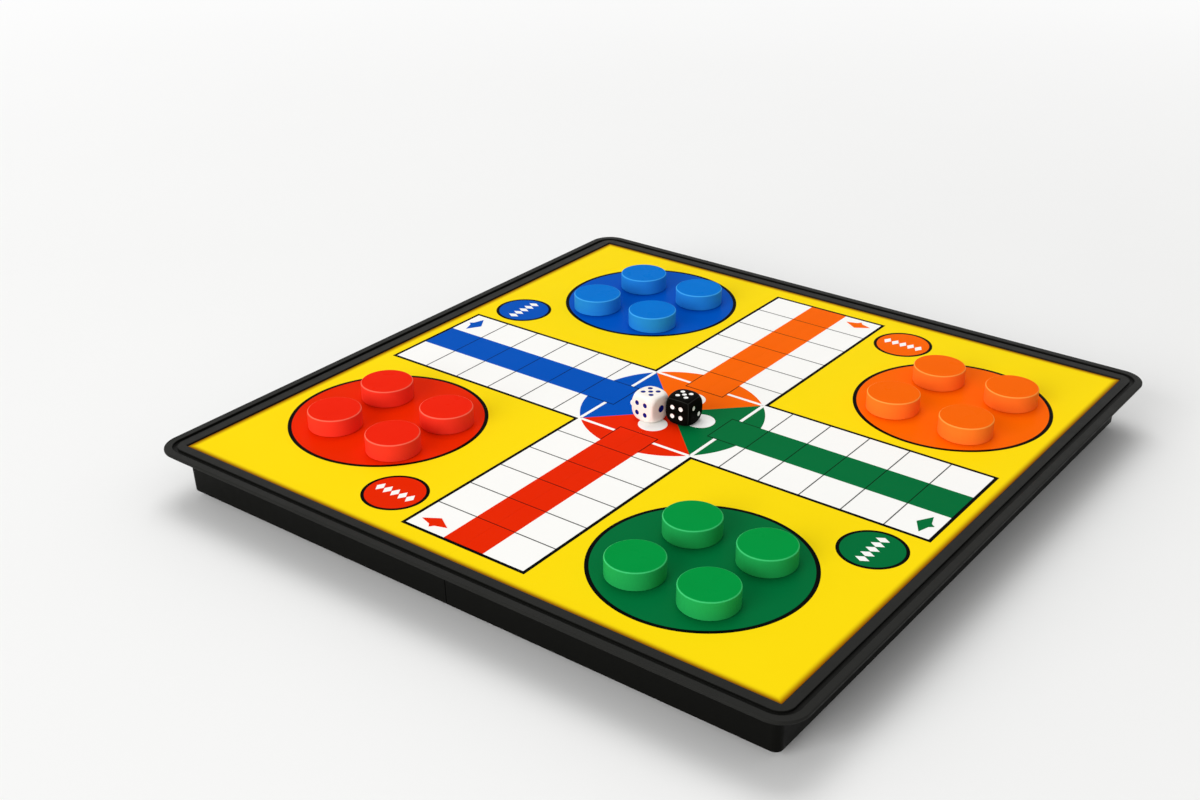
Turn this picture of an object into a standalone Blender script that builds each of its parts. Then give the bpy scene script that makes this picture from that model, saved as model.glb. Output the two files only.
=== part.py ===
"""Folding magnetic ludo board: each physical piece is its own closed solid.

Units are metres and +Z is up. The origin is on the floor under the middle of the open board. The fold
runs along X, with the rear half at +Y and the front half at -Y. The front half turns down about the
hinge pins until it lies under the rear half, which makes a flat box that holds the discs and the dice.
"""

import math

import bmesh
import bpy
from mathutils import Matrix, Vector

MM = 0.001

# Whole board
BOARD_LENGTH = 248 * MM
BOARD_WIDTH = 243 * MM
CASE_DEPTH = 16.6 * MM

# Clearances and cutting allowances
FACE_GAP = 0.3 * MM
KNUCKLE_GAP = 0.4 * MM
CUT_OVERRUN = 1 * MM

# Rim round the playing surface, from the outer edge inwards
LIP_WIDTH = 2.7 * MM
GROOVE_WIDTH = 1.7 * MM
BAND_WIDTH = 3.3 * MM
GROOVE_DEPTH = 0.9 * MM
LIP_THICKNESS = 1.1 * MM
LIP_CORNER_RADIUS = 9 * MM
LIP_EDGE_RADIUS = 0.4 * MM
SHOULDER_INSET = 1.6 * MM
SHOULDER_DEPTH = 1.5 * MM
BAND_RISE = 0.5 * MM

# Walls and top plate of a case half
WALL_THICKNESS = 1.8 * MM
WALL_SETBACK = 7.5 * MM
WALL_DRAFT = 0.5 * MM
WALL_CORNER_RADIUS = 2.5 * MM
TOP_PLATE_THICKNESS = 1.6 * MM
RIB_THICKNESS = 1.2 * MM
RIB_HEIGHT = 2.5 * MM
RIB_SPACING = 76 * MM

# Hinges at the fold
HINGE_SPACING = 150 * MM
BARREL_RADIUS = 2 * MM
PIN_RADIUS = 0.8 * MM
MIDDLE_KNUCKLE_LENGTH = 12 * MM
OUTER_KNUCKLE_LENGTH = 6 * MM

# Feet, set apart on the two halves so that they pass each other when the case is closed
FOOT_RADIUS = 3.5 * MM
FOOT_SIDE_INSET = 19 * MM
FOOT_END_INSET = 22 * MM
FOOT_PASSING_GAP = 5 * MM

# Closing magnets
CLOSING_MAGNET_RADIUS = 3 * MM
CLOSING_MAGNET_THICKNESS = 3 * MM
CLOSING_MAGNET_SPACING = 140 * MM
CLOSING_BOSS_WALL = 1.2 * MM

# Sheets
PRINT_THICKNESS = 0.5 * MM
STEEL_THICKNESS = 0.5 * MM

# Discs
DISC_RADIUS = 9.1 * MM
DISC_HEIGHT = 6 * MM
DISC_EDGE_RADIUS = 0.5 * MM
DISC_WALL = 1.2 * MM
DISC_TOP = 1.3 * MM
DISC_BOSS_WALL = 1 * MM
DISC_BOSS_LIFT = 0.4 * MM
DISC_MAGNET_RADIUS = 3 * MM
DISC_MAGNET_THICKNESS = 2 * MM

# Dice
DIE_SIZE = 9.7 * MM
DIE_EDGE_RADIUS = 2.2 * MM
PIP_RADIUS = 0.95 * MM
PIP_FLOOR_RADIUS = 0.7 * MM
PIP_DEPTH = 0.25 * MM
PIP_SPREAD = 2.1 * MM
WHITE_DIE_X = -7.9 * MM
WHITE_DIE_Y = 3.6 * MM
WHITE_DIE_TURN = math.radians(-7)
BLACK_DIE_X = -3 * MM
BLACK_DIE_Y = -6.8 * MM
BLACK_DIE_TURN = math.radians(2)

# Heights that follow from the sizes above
AXIS_Z = BARREL_RADIUS + FACE_GAP
RIM_Z = AXIS_Z + FACE_GAP / 2
BAND_TOP_Z = RIM_Z + CASE_DEPTH
LIP_LOW_Z = BAND_TOP_Z - LIP_THICKNESS
SHOULDER_TOP_Z = LIP_LOW_Z + LIP_THICKNESS / 3
PRINT_TOP_Z = BAND_TOP_Z - BAND_RISE
PRINT_LOW_Z = PRINT_TOP_Z - PRINT_THICKNESS
STEEL_TOP_Z = PRINT_LOW_Z - FACE_GAP
STEEL_LOW_Z = STEEL_TOP_Z - STEEL_THICKNESS
RECESS_Z = STEEL_LOW_Z - FACE_GAP
CEILING_Z = RECESS_Z - TOP_PLATE_THICKNESS
SEAM_Y = FACE_GAP / 2
RIM_WIDTH = LIP_WIDTH + GROOVE_WIDTH + BAND_WIDTH

# Facets of round pieces
CORNER_STEPS = 8
ROUND_SEGMENTS = 24
SMALL_SEGMENTS = 16
PIP_SEGMENTS = 8
EDGE_SEGMENTS = 2
MERGE_DISTANCE = 0.000001

REAR = 1
FRONT = -1
HANDS = ("left", "right")

# Middle of each disc, as shares of half the board's length and of half its width. The discs stand where
# a hand put them, so they aren't in exact squares.
DISC_SHARES = {
    "red": ((-0.613, 0.703), (-0.402, 0.711), (-0.619, 0.476), (-0.421, 0.465)),
    "blue": ((0.46, 0.621), (0.688, 0.603), (0.457, 0.401), (0.689, 0.383)),
    "orange": ((0.384, -0.486), (0.618, -0.511), (0.369, -0.715), (0.615, -0.737)),
    "green": ((-0.724, -0.406), (-0.497, -0.411), (-0.72, -0.61), (-0.498, -0.625)),
}

COLOURS = {
    "case_black": (0.032, 0.032, 0.029, 0.55, 0.0),
    "print_yellow": (0.98, 0.72, 0.008, 0.4, 0.0),
    "sheet_steel": (0.55, 0.56, 0.57, 0.35, 1.0),
    "pin_steel": (0.6, 0.61, 0.62, 0.25, 1.0),
    "magnet_ferrite": (0.06, 0.06, 0.065, 0.5, 0.6),
    "disc_red": (0.85, 0.02, 0.01, 0.35, 0.0),
    "disc_blue": (0.01, 0.14, 0.68, 0.35, 0.0),
    "disc_orange": (0.95, 0.15, 0.005, 0.35, 0.0),
    "disc_green": (0.005, 0.26, 0.06, 0.35, 0.0),
    "die_white": (0.83, 0.81, 0.77, 0.3, 0.0),
    "die_black": (0.012, 0.012, 0.012, 0.3, 0.0),
}

# Spots of a die face, as shares of the spot spread along the face's two directions
PIP_SHARES = {
    1: ((0, 0),),
    2: ((-1, 1), (1, -1)),
    3: ((-1, 1), (0, 0), (1, -1)),
    4: ((-1, -1), (-1, 1), (1, -1), (1, 1)),
    5: ((-1, -1), (-1, 1), (0, 0), (1, -1), (1, 1)),
    6: ((-1, -1), (-1, 0), (-1, 1), (1, -1), (1, 0), (1, 1)),
}

# Number of spots on each face, by the face's outward direction
WHITE_DIE_FACES = {(0, 0, 1): 5, (0, 0, -1): 2, (-1, 0, 0): 4, (1, 0, 0): 3, (0, -1, 0): 1, (0, 1, 0): 6}
BLACK_DIE_FACES = {(0, 0, 1): 5, (0, 0, -1): 2, (-1, 0, 0): 4, (1, 0, 0): 1, (0, -1, 0): 3, (0, 1, 0): 6}


def clear_scene():
    """Remove every object of the open scene."""
    for item in list(bpy.data.objects):
        bpy.data.objects.remove(item, do_unlink=True)


def make_collection(name):
    """Return a new collection linked to the scene."""
    collection = bpy.data.collections.new(name)
    bpy.context.scene.collection.children.link(collection)
    return collection


def make_material(name):
    """Return a Principled material with the colour, roughness and metallic value of the table."""
    red, green, blue, roughness, metallic = COLOURS[name]
    material = bpy.data.materials.new(name)
    material.use_nodes = True
    shader = material.node_tree.nodes["Principled BSDF"]
    shader.inputs["Base Color"].default_value = (red, green, blue, 1)
    shader.inputs["Roughness"].default_value = roughness
    shader.inputs["Metallic"].default_value = metallic
    material.diffuse_color = (red, green, blue, 1)
    return material


def mesh_from(name, build):
    """Return a mesh filled by the function build, which gets an empty bmesh."""
    grid = bmesh.new()
    build(grid)
    mesh = bpy.data.meshes.new(name)
    grid.to_mesh(mesh)
    grid.free()
    return mesh


def add_object(name, mesh, collection):
    """Link a new object for a mesh and return it."""
    item = bpy.data.objects.new(name, mesh)
    collection.objects.link(item)
    return item


def attach(item, carrier):
    """Parent an object to its carrier, with both left where they are."""
    item.parent = carrier
    item.matrix_parent_inverse = carrier.matrix_basis.inverted()


def round_bar_mesh(name, radius, start, end, segments, material):
    """Return the mesh of a round magnet or pin in its material, shaded smooth."""
    mesh = cylinder_mesh(name, radius, start, end, segments)
    mesh.materials.append(material)
    shade_round(mesh)
    return mesh


def as_cutter(item):
    """Mark an object as a tool of the modelling, which isn't part of the board."""
    item.hide_render = True
    item.display_type = "WIRE"
    return item


def box_mesh(name, low, high):
    """Return a box between two corners."""
    size = Vector(high) - Vector(low)
    centre = (Vector(high) + Vector(low)) / 2

    def build(grid):
        bmesh.ops.create_cube(grid, size=1, matrix=Matrix.Translation(centre) @ Matrix.Diagonal((*size, 1)))

    return mesh_from(name, build)


def cylinder_mesh(name, radius, start, end, segments):
    """Return a cylinder whose axis runs from one point to another."""
    start = Vector(start)
    end = Vector(end)
    turn = (end - start).to_track_quat("Z", "Y").to_matrix().to_4x4()
    place = Matrix.Translation((start + end) / 2) @ turn

    def build(grid):
        bmesh.ops.create_cone(
            grid, cap_ends=True, segments=segments, radius1=radius, radius2=radius,
            depth=(end - start).length, matrix=place,
        )

    return mesh_from(name, build)


def rounded_rectangle(half_x, half_y, radius):
    """Return the outline of a rectangle about the origin with round corners, counter-clockwise."""
    points = []
    for corner in range(4):
        centre_x = math.copysign(half_x - radius, math.cos(math.radians(45 + 90 * corner)))
        centre_y = math.copysign(half_y - radius, math.sin(math.radians(45 + 90 * corner)))
        for step in range(CORNER_STEPS + 1):
            angle = math.radians(90 * corner + 90 * step / CORNER_STEPS)
            points.append((centre_x + radius * math.cos(angle), centre_y + radius * math.sin(angle)))
    return points


def plate_mesh(name, outlines, low_z, high_z, edge_radius):
    """Return a plate with the given outlines, where an outline inside another is a hole.

    The outer edges are rounded by edge_radius, which also moves each outline out by that much.
    """
    curve = bpy.data.curves.new(name, "CURVE")
    curve.dimensions = "2D"
    curve.fill_mode = "BOTH"
    curve.extrude = (high_z - low_z) / 2 - edge_radius
    curve.bevel_depth = edge_radius
    curve.bevel_resolution = 1
    for outline in outlines:
        spline = curve.splines.new("POLY")
        spline.points.add(len(outline) - 1)
        for point, (x, y) in zip(spline.points, outline):
            point.co = (x, y, 0, 1)
        spline.use_cyclic_u = True
    holder = bpy.data.objects.new(name, curve)
    bpy.context.scene.collection.objects.link(holder)
    holder.location.z = (low_z + high_z) / 2
    graph = bpy.context.evaluated_depsgraph_get()
    mesh = bpy.data.meshes.new_from_object(holder.evaluated_get(graph))
    place = holder.matrix_world.copy()
    bpy.data.objects.remove(holder, do_unlink=True)
    grid = bmesh.new()
    grid.from_mesh(mesh)
    bmesh.ops.remove_doubles(grid, verts=grid.verts, dist=MERGE_DISTANCE)
    bmesh.ops.transform(grid, matrix=place, verts=grid.verts)
    bmesh.ops.recalc_face_normals(grid, faces=grid.faces)
    grid.to_mesh(mesh)
    grid.free()
    return mesh


def wall_inset(z):
    """Return how far the outer face of the walls lies inside the board's edge at a height."""
    return WALL_SETBACK + WALL_DRAFT * (LIP_LOW_Z - z) / (LIP_LOW_Z - RIM_Z)


def drafted_block_mesh(name, low_z, high_z, thickness, corner_radius, near_y):
    """Return a block whose sides follow the walls, a thickness inside their outer faces.

    near_y is the block's flat side at the fold, or None where the block runs over both halves.
    """

    def build(grid):
        bmesh.ops.create_cube(grid, size=1)
        for corner in grid.verts:
            z = high_z if corner.co.z > 0 else low_z
            half_x = BOARD_LENGTH / 2 - wall_inset(z) - thickness
            half_y = BOARD_WIDTH / 2 - wall_inset(z) - thickness
            near = -half_y if near_y is None else near_y
            corner.co = (math.copysign(half_x, corner.co.x), half_y if corner.co.y > 0 else near, z)
        if corner_radius:
            upright = [edge for edge in grid.edges if abs(edge.verts[0].co.z - edge.verts[1].co.z) > 0]
            bmesh.ops.bevel(
                grid, geom=upright, offset=corner_radius, segments=CORNER_STEPS // 2, profile=0.5,
                affect="EDGES",
            )

    return mesh_from(name, build)


def boolean(item, tool, operation):
    """Add a Boolean modifier of the exact solver, which works with another object."""
    modifier = item.modifiers.new(tool.name, "BOOLEAN")
    modifier.operation = operation
    modifier.solver = "EXACT"
    modifier.object = tool


def shade_round(mesh):
    """Shade a mesh smooth, with its corners kept sharp."""
    mesh.shade_smooth()
    mesh.set_sharp_from_angle(angle=math.radians(35))


class CaseMaker:
    """Builds the two case halves from shared blocks and from each half's own details."""

    def __init__(self, parts, cutters):
        self.parts = parts
        self.cutters = cutters
        self.flange = self.tool("flange_block", plate_mesh(
            "flange_block",
            [rounded_rectangle(
                BOARD_LENGTH / 2 - LIP_EDGE_RADIUS, BOARD_WIDTH / 2 - LIP_EDGE_RADIUS,
                LIP_CORNER_RADIUS - LIP_EDGE_RADIUS,
            )],
            LIP_LOW_Z, BAND_TOP_Z, LIP_EDGE_RADIUS,
        ))
        self.shoulder = self.tool("shoulder_block", plate_mesh(
            "shoulder_block", [self.inner_outline(SHOULDER_INSET)],
            LIP_LOW_Z - SHOULDER_DEPTH, SHOULDER_TOP_Z, 0,
        ))
        self.groove = self.tool("groove_ring", plate_mesh(
            "groove_ring",
            [self.inner_outline(LIP_WIDTH), self.inner_outline(LIP_WIDTH + GROOVE_WIDTH)],
            BAND_TOP_Z - GROOVE_DEPTH, BAND_TOP_Z + CUT_OVERRUN, 0,
        ))

    @staticmethod
    def inner_outline(inset):
        """Return the board's outline moved inwards."""
        return rounded_rectangle(
            BOARD_LENGTH / 2 - inset, BOARD_WIDTH / 2 - inset, max(LIP_CORNER_RADIUS - inset, 0),
        )

    def tool(self, name, mesh):
        """Return a modelling tool in the cutters' collection."""
        return as_cutter(add_object(name, mesh, self.cutters))

    def join(self, item, name, mesh):
        """Fuse a shape to a case half."""
        boolean(item, self.tool(name, mesh), "UNION")

    def cut(self, item, name, mesh):
        """Cut a shape from a case half."""
        boolean(item, self.tool(name, mesh), "DIFFERENCE")

    def make(self, name, side):
        """Return one case half: a drafted tray with its rim, posts, bosses, knuckles and pockets."""
        body = drafted_block_mesh(name, RIM_Z, (LIP_LOW_Z + BAND_TOP_Z) / 2, 0, WALL_CORNER_RADIUS, None)
        item = add_object(name, body, self.parts)
        boolean(item, self.flange, "UNION")
        boolean(item, self.shoulder, "UNION")
        self.keep_side(item, side)
        self.hollow(item, side)
        self.cut(item, name + "_recess", recess_mesh(name, side))
        boolean(item, self.groove, "DIFFERENCE")
        self.add_ribs(item, side)
        self.add_feet(item, side)
        self.add_magnet_bosses(item, side)
        self.add_hinges(item, side)
        return item

    def keep_side(self, item, side):
        """Keep the part of the block on one side of the fold."""
        far_x = BOARD_LENGTH / 2 + CUT_OVERRUN
        near_y = side * SEAM_Y
        far_y = side * (BOARD_WIDTH / 2 + CUT_OVERRUN)
        box = box_mesh(
            item.name + "_side", (-far_x, min(near_y, far_y), -CUT_OVERRUN),
            (far_x, max(near_y, far_y), BAND_TOP_Z + CUT_OVERRUN),
        )
        boolean(item, self.tool(item.name + "_side", box), "INTERSECT")

    def hollow(self, item, side):
        """Open the underside, up to the top plate."""
        mesh = drafted_block_mesh(
            item.name + "_hollow", RIM_Z - CUT_OVERRUN, CEILING_Z, WALL_THICKNESS, 0, SEAM_Y + WALL_THICKNESS,
        )
        if side == FRONT:
            mesh.transform(Matrix.Scale(-1, 4, (0, 1, 0)))
            mesh.flip_normals()
        self.cut(item, item.name + "_hollow", mesh)

    def add_ribs(self, item, side):
        """Add two low ribs under the top plate, from the fold wall to the far wall."""
        near_y = SEAM_Y + WALL_THICKNESS / 2
        far_y = BOARD_WIDTH / 2 - WALL_SETBACK - WALL_THICKNESS / 2 - WALL_DRAFT / 2
        for number, x in enumerate((-RIB_SPACING / 2, RIB_SPACING / 2)):
            low = (x - RIB_THICKNESS / 2, min(side * near_y, side * far_y), CEILING_Z - RIB_HEIGHT)
            high = (x + RIB_THICKNESS / 2, max(side * near_y, side * far_y), CEILING_Z + TOP_PLATE_THICKNESS / 2)
            tool_name = f"{item.name}_rib_{number}"
            self.join(item, tool_name, box_mesh(tool_name, low, high))

    def add_feet(self, item, side):
        """Add two posts that carry the half and reach below its rim."""
        end_x = BOARD_LENGTH / 2 - FOOT_END_INSET
        if side == FRONT:
            end_x -= 2 * FOOT_RADIUS + FOOT_PASSING_GAP
        y = side * (BOARD_WIDTH / 2 - FOOT_SIDE_INSET)
        for number, x in enumerate((-end_x, end_x)):
            tool_name = f"{item.name}_foot_{number}"
            top_z = CEILING_Z + TOP_PLATE_THICKNESS / 2
            mesh = cylinder_mesh(tool_name, FOOT_RADIUS, (x, y, 0), (x, y, top_z), ROUND_SEGMENTS)
            self.join(item, tool_name, mesh)

    def add_magnet_bosses(self, item, side):
        """Add two round bosses at the far wall, each with a pocket that opens at the rim."""
        radius = CLOSING_MAGNET_RADIUS + FACE_GAP
        for number, (x, y) in enumerate(closing_magnet_places(side)):
            tool_name = f"{item.name}_boss_{number}"
            top = (x, y, CEILING_Z + TOP_PLATE_THICKNESS / 2)
            mesh = cylinder_mesh(tool_name, radius + CLOSING_BOSS_WALL, (x, y, RIM_Z), top, ROUND_SEGMENTS)
            self.join(item, tool_name, mesh)
            tool_name = f"{item.name}_pocket_{number}"
            top = (x, y, RIM_Z + CLOSING_MAGNET_THICKNESS + 2 * FACE_GAP)
            mesh = cylinder_mesh(tool_name, radius, (x, y, RIM_Z - CUT_OVERRUN), top, ROUND_SEGMENTS)
            self.cut(item, tool_name, mesh)

    def add_hinges(self, item, side):
        """Clear the other half's knuckles, add this half's and bore them for the pins."""
        for number, centre in enumerate(hinge_centres()):
            own, other = knuckle_spans(centre, side)
            for index, (start, end) in enumerate(other):
                tool_name = f"{item.name}_notch_{number}_{index}"
                self.cut(item, tool_name, cylinder_mesh(
                    tool_name, BARREL_RADIUS + KNUCKLE_GAP, (start - KNUCKLE_GAP, 0, AXIS_Z),
                    (end + KNUCKLE_GAP, 0, AXIS_Z), ROUND_SEGMENTS,
                ))
            for index, (start, end) in enumerate(own):
                tool_name = f"{item.name}_knuckle_{number}_{index}"
                self.join(item, tool_name, cylinder_mesh(
                    tool_name, BARREL_RADIUS, (start, 0, AXIS_Z), (end, 0, AXIS_Z), ROUND_SEGMENTS,
                ))
            tool_name = f"{item.name}_bore_{number}"
            reach = hinge_length() / 2 + FACE_GAP
            self.cut(item, tool_name, cylinder_mesh(
                tool_name, PIN_RADIUS + FACE_GAP, (centre - reach, 0, AXIS_Z), (centre + reach, 0, AXIS_Z),
                SMALL_SEGMENTS,
            ))


def recess_mesh(name, side):
    """Return the cutter of the recess that takes the steel sheet and the printed sheet."""
    half_x = BOARD_LENGTH / 2 - RIM_WIDTH
    far_y = side * (BOARD_WIDTH / 2 - RIM_WIDTH)
    near_y = side * (SEAM_Y - CUT_OVERRUN)
    return box_mesh(
        name + "_recess", (-half_x, min(near_y, far_y), RECESS_Z),
        (half_x, max(near_y, far_y), BAND_TOP_Z + CUT_OVERRUN),
    )


def hinge_centres():
    """Return the middle of each hinge along the fold."""
    return (-HINGE_SPACING / 2, HINGE_SPACING / 2)


def hinge_length():
    """Return the length of one hinge over its three knuckles."""
    return MIDDLE_KNUCKLE_LENGTH + 2 * FACE_GAP + 2 * OUTER_KNUCKLE_LENGTH


def knuckle_spans(centre, side):
    """Return the spans of this half's knuckles and of the other half's, along one hinge."""
    half = MIDDLE_KNUCKLE_LENGTH / 2
    inner = half + FACE_GAP
    outer = inner + OUTER_KNUCKLE_LENGTH
    middle = [(centre - half, centre + half)]
    ends = [(centre - outer, centre - inner), (centre + inner, centre + outer)]
    return (ends, middle) if side == REAR else (middle, ends)


def closing_magnet_places(side):
    """Return the places of one half's closing magnets, whose bosses bite into the far wall."""
    middle_of_wall = BOARD_WIDTH / 2 - wall_inset(RIM_Z) - WALL_THICKNESS / 2
    y = side * (middle_of_wall - CLOSING_MAGNET_RADIUS - FACE_GAP - CLOSING_BOSS_WALL)
    return ((-CLOSING_MAGNET_SPACING / 2, y), (CLOSING_MAGNET_SPACING / 2, y))


def add_sheet(name, side, low_z, high_z, material, parts):
    """Add and return a flat sheet that fills the recess of one half, with a gap at the rim."""
    half_x = BOARD_LENGTH / 2 - RIM_WIDTH - FACE_GAP
    far_y = side * (BOARD_WIDTH / 2 - RIM_WIDTH - FACE_GAP)
    near_y = side * SEAM_Y
    mesh = box_mesh(name, (-half_x, min(near_y, far_y), low_z), (half_x, max(near_y, far_y), high_z))
    mesh.materials.append(material)
    return add_object(name, mesh, parts)


def turned_mesh(name, profile, steps):
    """Return a solid turned about Z from a profile that runs down its outer side, top to bottom."""
    outline = bpy.data.meshes.new(name + "_outline")
    edges = [(index, index + 1) for index in range(len(profile) - 1)]
    outline.from_pydata([(radius, 0, z) for radius, z in profile], edges, [])
    holder = bpy.data.objects.new(name, outline)
    bpy.context.scene.collection.objects.link(holder)
    screw = holder.modifiers.new("turn", "SCREW")
    screw.angle = math.radians(360)
    screw.steps = steps
    screw.render_steps = steps
    screw.use_merge_vertices = True
    screw.merge_threshold = MERGE_DISTANCE
    graph = bpy.context.evaluated_depsgraph_get()
    mesh = bpy.data.meshes.new_from_object(holder.evaluated_get(graph))
    bpy.data.objects.remove(holder, do_unlink=True)
    shade_round(mesh)
    return mesh


def disc_profile():
    """Return the section of a disc: a cap with a rounded edge and a tube for its magnet inside."""
    inner = DISC_RADIUS - DISC_WALL
    ceiling = DISC_HEIGHT - DISC_TOP
    pocket = DISC_MAGNET_RADIUS + FACE_GAP
    boss = pocket + DISC_BOSS_WALL
    pocket_top = DISC_BOSS_LIFT + DISC_MAGNET_THICKNESS + FACE_GAP
    edge_angles = [math.radians(90 - 90 * step / EDGE_SEGMENTS) for step in range(EDGE_SEGMENTS + 1)]
    rounding = [
        (
            DISC_RADIUS - DISC_EDGE_RADIUS * (1 - math.cos(angle)),
            DISC_HEIGHT - DISC_EDGE_RADIUS * (1 - math.sin(angle)),
        )
        for angle in edge_angles
    ]
    underside = [
        (DISC_RADIUS, 0), (inner, 0), (inner, ceiling), (boss, ceiling), (boss, DISC_BOSS_LIFT),
        (pocket, DISC_BOSS_LIFT), (pocket, pocket_top), (0, pocket_top),
    ]
    return [(0, DISC_HEIGHT), *rounding, *underside]


def disc_places(colour):
    """Return the places of a colour's four discs."""
    return [(x * BOARD_LENGTH / 2, y * BOARD_WIDTH / 2) for x, y in DISC_SHARES[colour]]


def add_discs(colour, magnet_mesh, parts):
    """Add a colour's four discs, each with its magnet, and return the discs."""
    disc_z = PRINT_TOP_Z + FACE_GAP
    disc_mesh = turned_mesh(colour + "_disc", disc_profile(), ROUND_SEGMENTS)
    disc_mesh.materials.append(make_material("disc_" + colour))
    discs = []
    for number, (x, y) in enumerate(disc_places(colour), start=1):
        disc = add_object(f"{colour}_disc_{number}", disc_mesh, parts)
        disc.location = (x, y, disc_z)
        magnet = add_object(f"{colour}_disc_magnet_{number}", magnet_mesh, parts)
        magnet.location = (x, y, disc_z + DISC_BOSS_LIFT)
        attach(magnet, disc)
        discs.append(disc)
    return discs


def pip_mesh(name, faces):
    """Return short cones that sink a die's spots into its faces."""

    def build(grid):
        for direction, count in faces.items():
            normal = Vector(direction)
            side = Vector((direction[1], direction[2], direction[0]))
            across = normal.cross(side)
            for share_a, share_b in PIP_SHARES[count]:
                spot = (share_a * side + share_b * across) * PIP_SPREAD
                turn = normal.to_track_quat("Z", "Y").to_matrix().to_4x4()
                bmesh.ops.create_cone(
                    grid, cap_ends=True, segments=PIP_SEGMENTS, radius1=PIP_FLOOR_RADIUS,
                    radius2=2 * PIP_RADIUS - PIP_FLOOR_RADIUS, depth=2 * PIP_DEPTH,
                    matrix=Matrix.Translation(normal * DIE_SIZE / 2 + spot) @ turn,
                )

    return mesh_from(name, build)


def add_die(name, x, y, turn, faces, parts, cutters):
    """Add and return a die that stands on the board: a cube with rounded edges and sunk spots."""
    place = (x, y, PRINT_TOP_Z + FACE_GAP + DIE_SIZE / 2)
    half = DIE_SIZE / 2
    die = add_object(name, box_mesh(name, (-half, -half, -half), (half, half, half)), parts)
    die.location = place
    die.rotation_euler.z = turn
    bevel = die.modifiers.new("rounded_edges", "BEVEL")
    bevel.width = DIE_EDGE_RADIUS
    bevel.segments = 2 * EDGE_SEGMENTS
    spots = as_cutter(add_object(name + "_spots", pip_mesh(name + "_spots", faces), cutters))
    spots.location = place
    spots.rotation_euler.z = turn
    boolean(die, spots, "DIFFERENCE")
    die.data.materials.append(make_material("die_" + name.split("_")[0]))
    return die


def add_closing_magnets(word, side, magnet_material, parts):
    """Add and return the two magnets that hold one half shut."""
    mesh = round_bar_mesh(
        word + "_closing_magnet", CLOSING_MAGNET_RADIUS, (0, 0, 0), (0, 0, CLOSING_MAGNET_THICKNESS),
        ROUND_SEGMENTS, magnet_material,
    )
    magnets = []
    for hand, (x, y) in zip(HANDS, closing_magnet_places(side)):
        magnet = add_object(f"{word}_{hand}_closing_magnet", mesh, parts)
        magnet.location = (x, y, RIM_Z + FACE_GAP)
        magnets.append(magnet)
    return magnets


def add_hinge_pins(parts):
    """Add the two wire pins on the fold axis."""
    reach = hinge_length() / 2 - FACE_GAP
    mesh = round_bar_mesh(
        "hinge_pin", PIN_RADIUS, (-reach, 0, 0), (reach, 0, 0), SMALL_SEGMENTS, make_material("pin_steel"),
    )
    for hand, centre in zip(HANDS, hinge_centres()):
        pin = add_object(hand + "_hinge_pin", mesh, parts)
        pin.location = (centre, 0, AXIS_Z)


def main():
    """Build the board."""
    clear_scene()
    parts = make_collection("magnetic_ludo_board")
    cutters = make_collection("cutters")
    case_material = make_material("case_black")
    print_material = make_material("print_yellow")
    steel_material = make_material("sheet_steel")
    magnet_material = make_material("magnet_ferrite")
    case_maker = CaseMaker(parts, cutters)
    carried = {}
    for word, side in (("rear", REAR), ("front", FRONT)):
        case_half = case_maker.make(word + "_case_half", side)
        case_half.data.materials.append(case_material)
        carried[side] = [
            case_half,
            add_sheet(word + "_steel_sheet", side, STEEL_LOW_Z, STEEL_TOP_Z, steel_material, parts),
            add_sheet(word + "_playing_surface", side, PRINT_LOW_Z, PRINT_TOP_Z, print_material, parts),
            *add_closing_magnets(word, side, magnet_material, parts),
        ]
    add_hinge_pins(parts)
    disc_magnet_mesh = round_bar_mesh(
        "disc_magnet", DISC_MAGNET_RADIUS, (0, 0, 0), (0, 0, DISC_MAGNET_THICKNESS), SMALL_SEGMENTS,
        magnet_material,
    )
    for colour, shares in DISC_SHARES.items():
        carried[REAR if shares[0][1] > 0 else FRONT] += add_discs(colour, disc_magnet_mesh, parts)
    add_die("white_die", WHITE_DIE_X, WHITE_DIE_Y, WHITE_DIE_TURN, WHITE_DIE_FACES, parts, cutters)
    black_die = add_die(
        "black_die", BLACK_DIE_X, BLACK_DIE_Y, BLACK_DIE_TURN, BLACK_DIE_FACES, parts, cutters,
    )
    fold_axis = add_object("fold_axis", None, parts)
    fold_axis.location = (0, 0, AXIS_Z)
    for item in [*carried[FRONT], black_die]:
        attach(item, fold_axis)


main()
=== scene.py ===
"""Looks of the folding magnetic ludo board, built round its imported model.

Sizes are in millimetres until a surface becomes a mesh, which is in metres. The axes are the frame's:
+Z is up, the fold runs along X and the rear half is at +Y.
"""

import logging
import math
from dataclasses import dataclass, field
from enum import Enum, IntEnum, auto
from typing import Any

import bmesh
import bpy
import numpy as np
from mathutils import Matrix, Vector
from numpy.typing import NDArray


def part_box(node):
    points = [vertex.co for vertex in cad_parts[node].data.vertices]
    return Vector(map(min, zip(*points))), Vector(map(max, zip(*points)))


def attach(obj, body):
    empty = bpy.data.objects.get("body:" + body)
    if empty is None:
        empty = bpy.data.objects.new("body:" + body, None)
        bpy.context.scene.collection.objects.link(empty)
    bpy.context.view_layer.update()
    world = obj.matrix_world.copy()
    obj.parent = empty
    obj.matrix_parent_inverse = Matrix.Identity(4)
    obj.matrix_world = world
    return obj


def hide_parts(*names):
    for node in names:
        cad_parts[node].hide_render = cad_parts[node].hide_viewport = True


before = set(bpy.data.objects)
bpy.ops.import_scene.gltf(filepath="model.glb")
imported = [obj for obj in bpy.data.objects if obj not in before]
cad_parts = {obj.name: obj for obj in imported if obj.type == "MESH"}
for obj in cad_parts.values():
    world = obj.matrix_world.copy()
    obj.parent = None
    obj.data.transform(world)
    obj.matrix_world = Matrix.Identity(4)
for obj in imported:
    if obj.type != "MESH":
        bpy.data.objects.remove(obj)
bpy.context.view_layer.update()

MM = 0.001
FloatArray = NDArray[np.float64]
IntArray = NDArray[np.int64]
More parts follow.
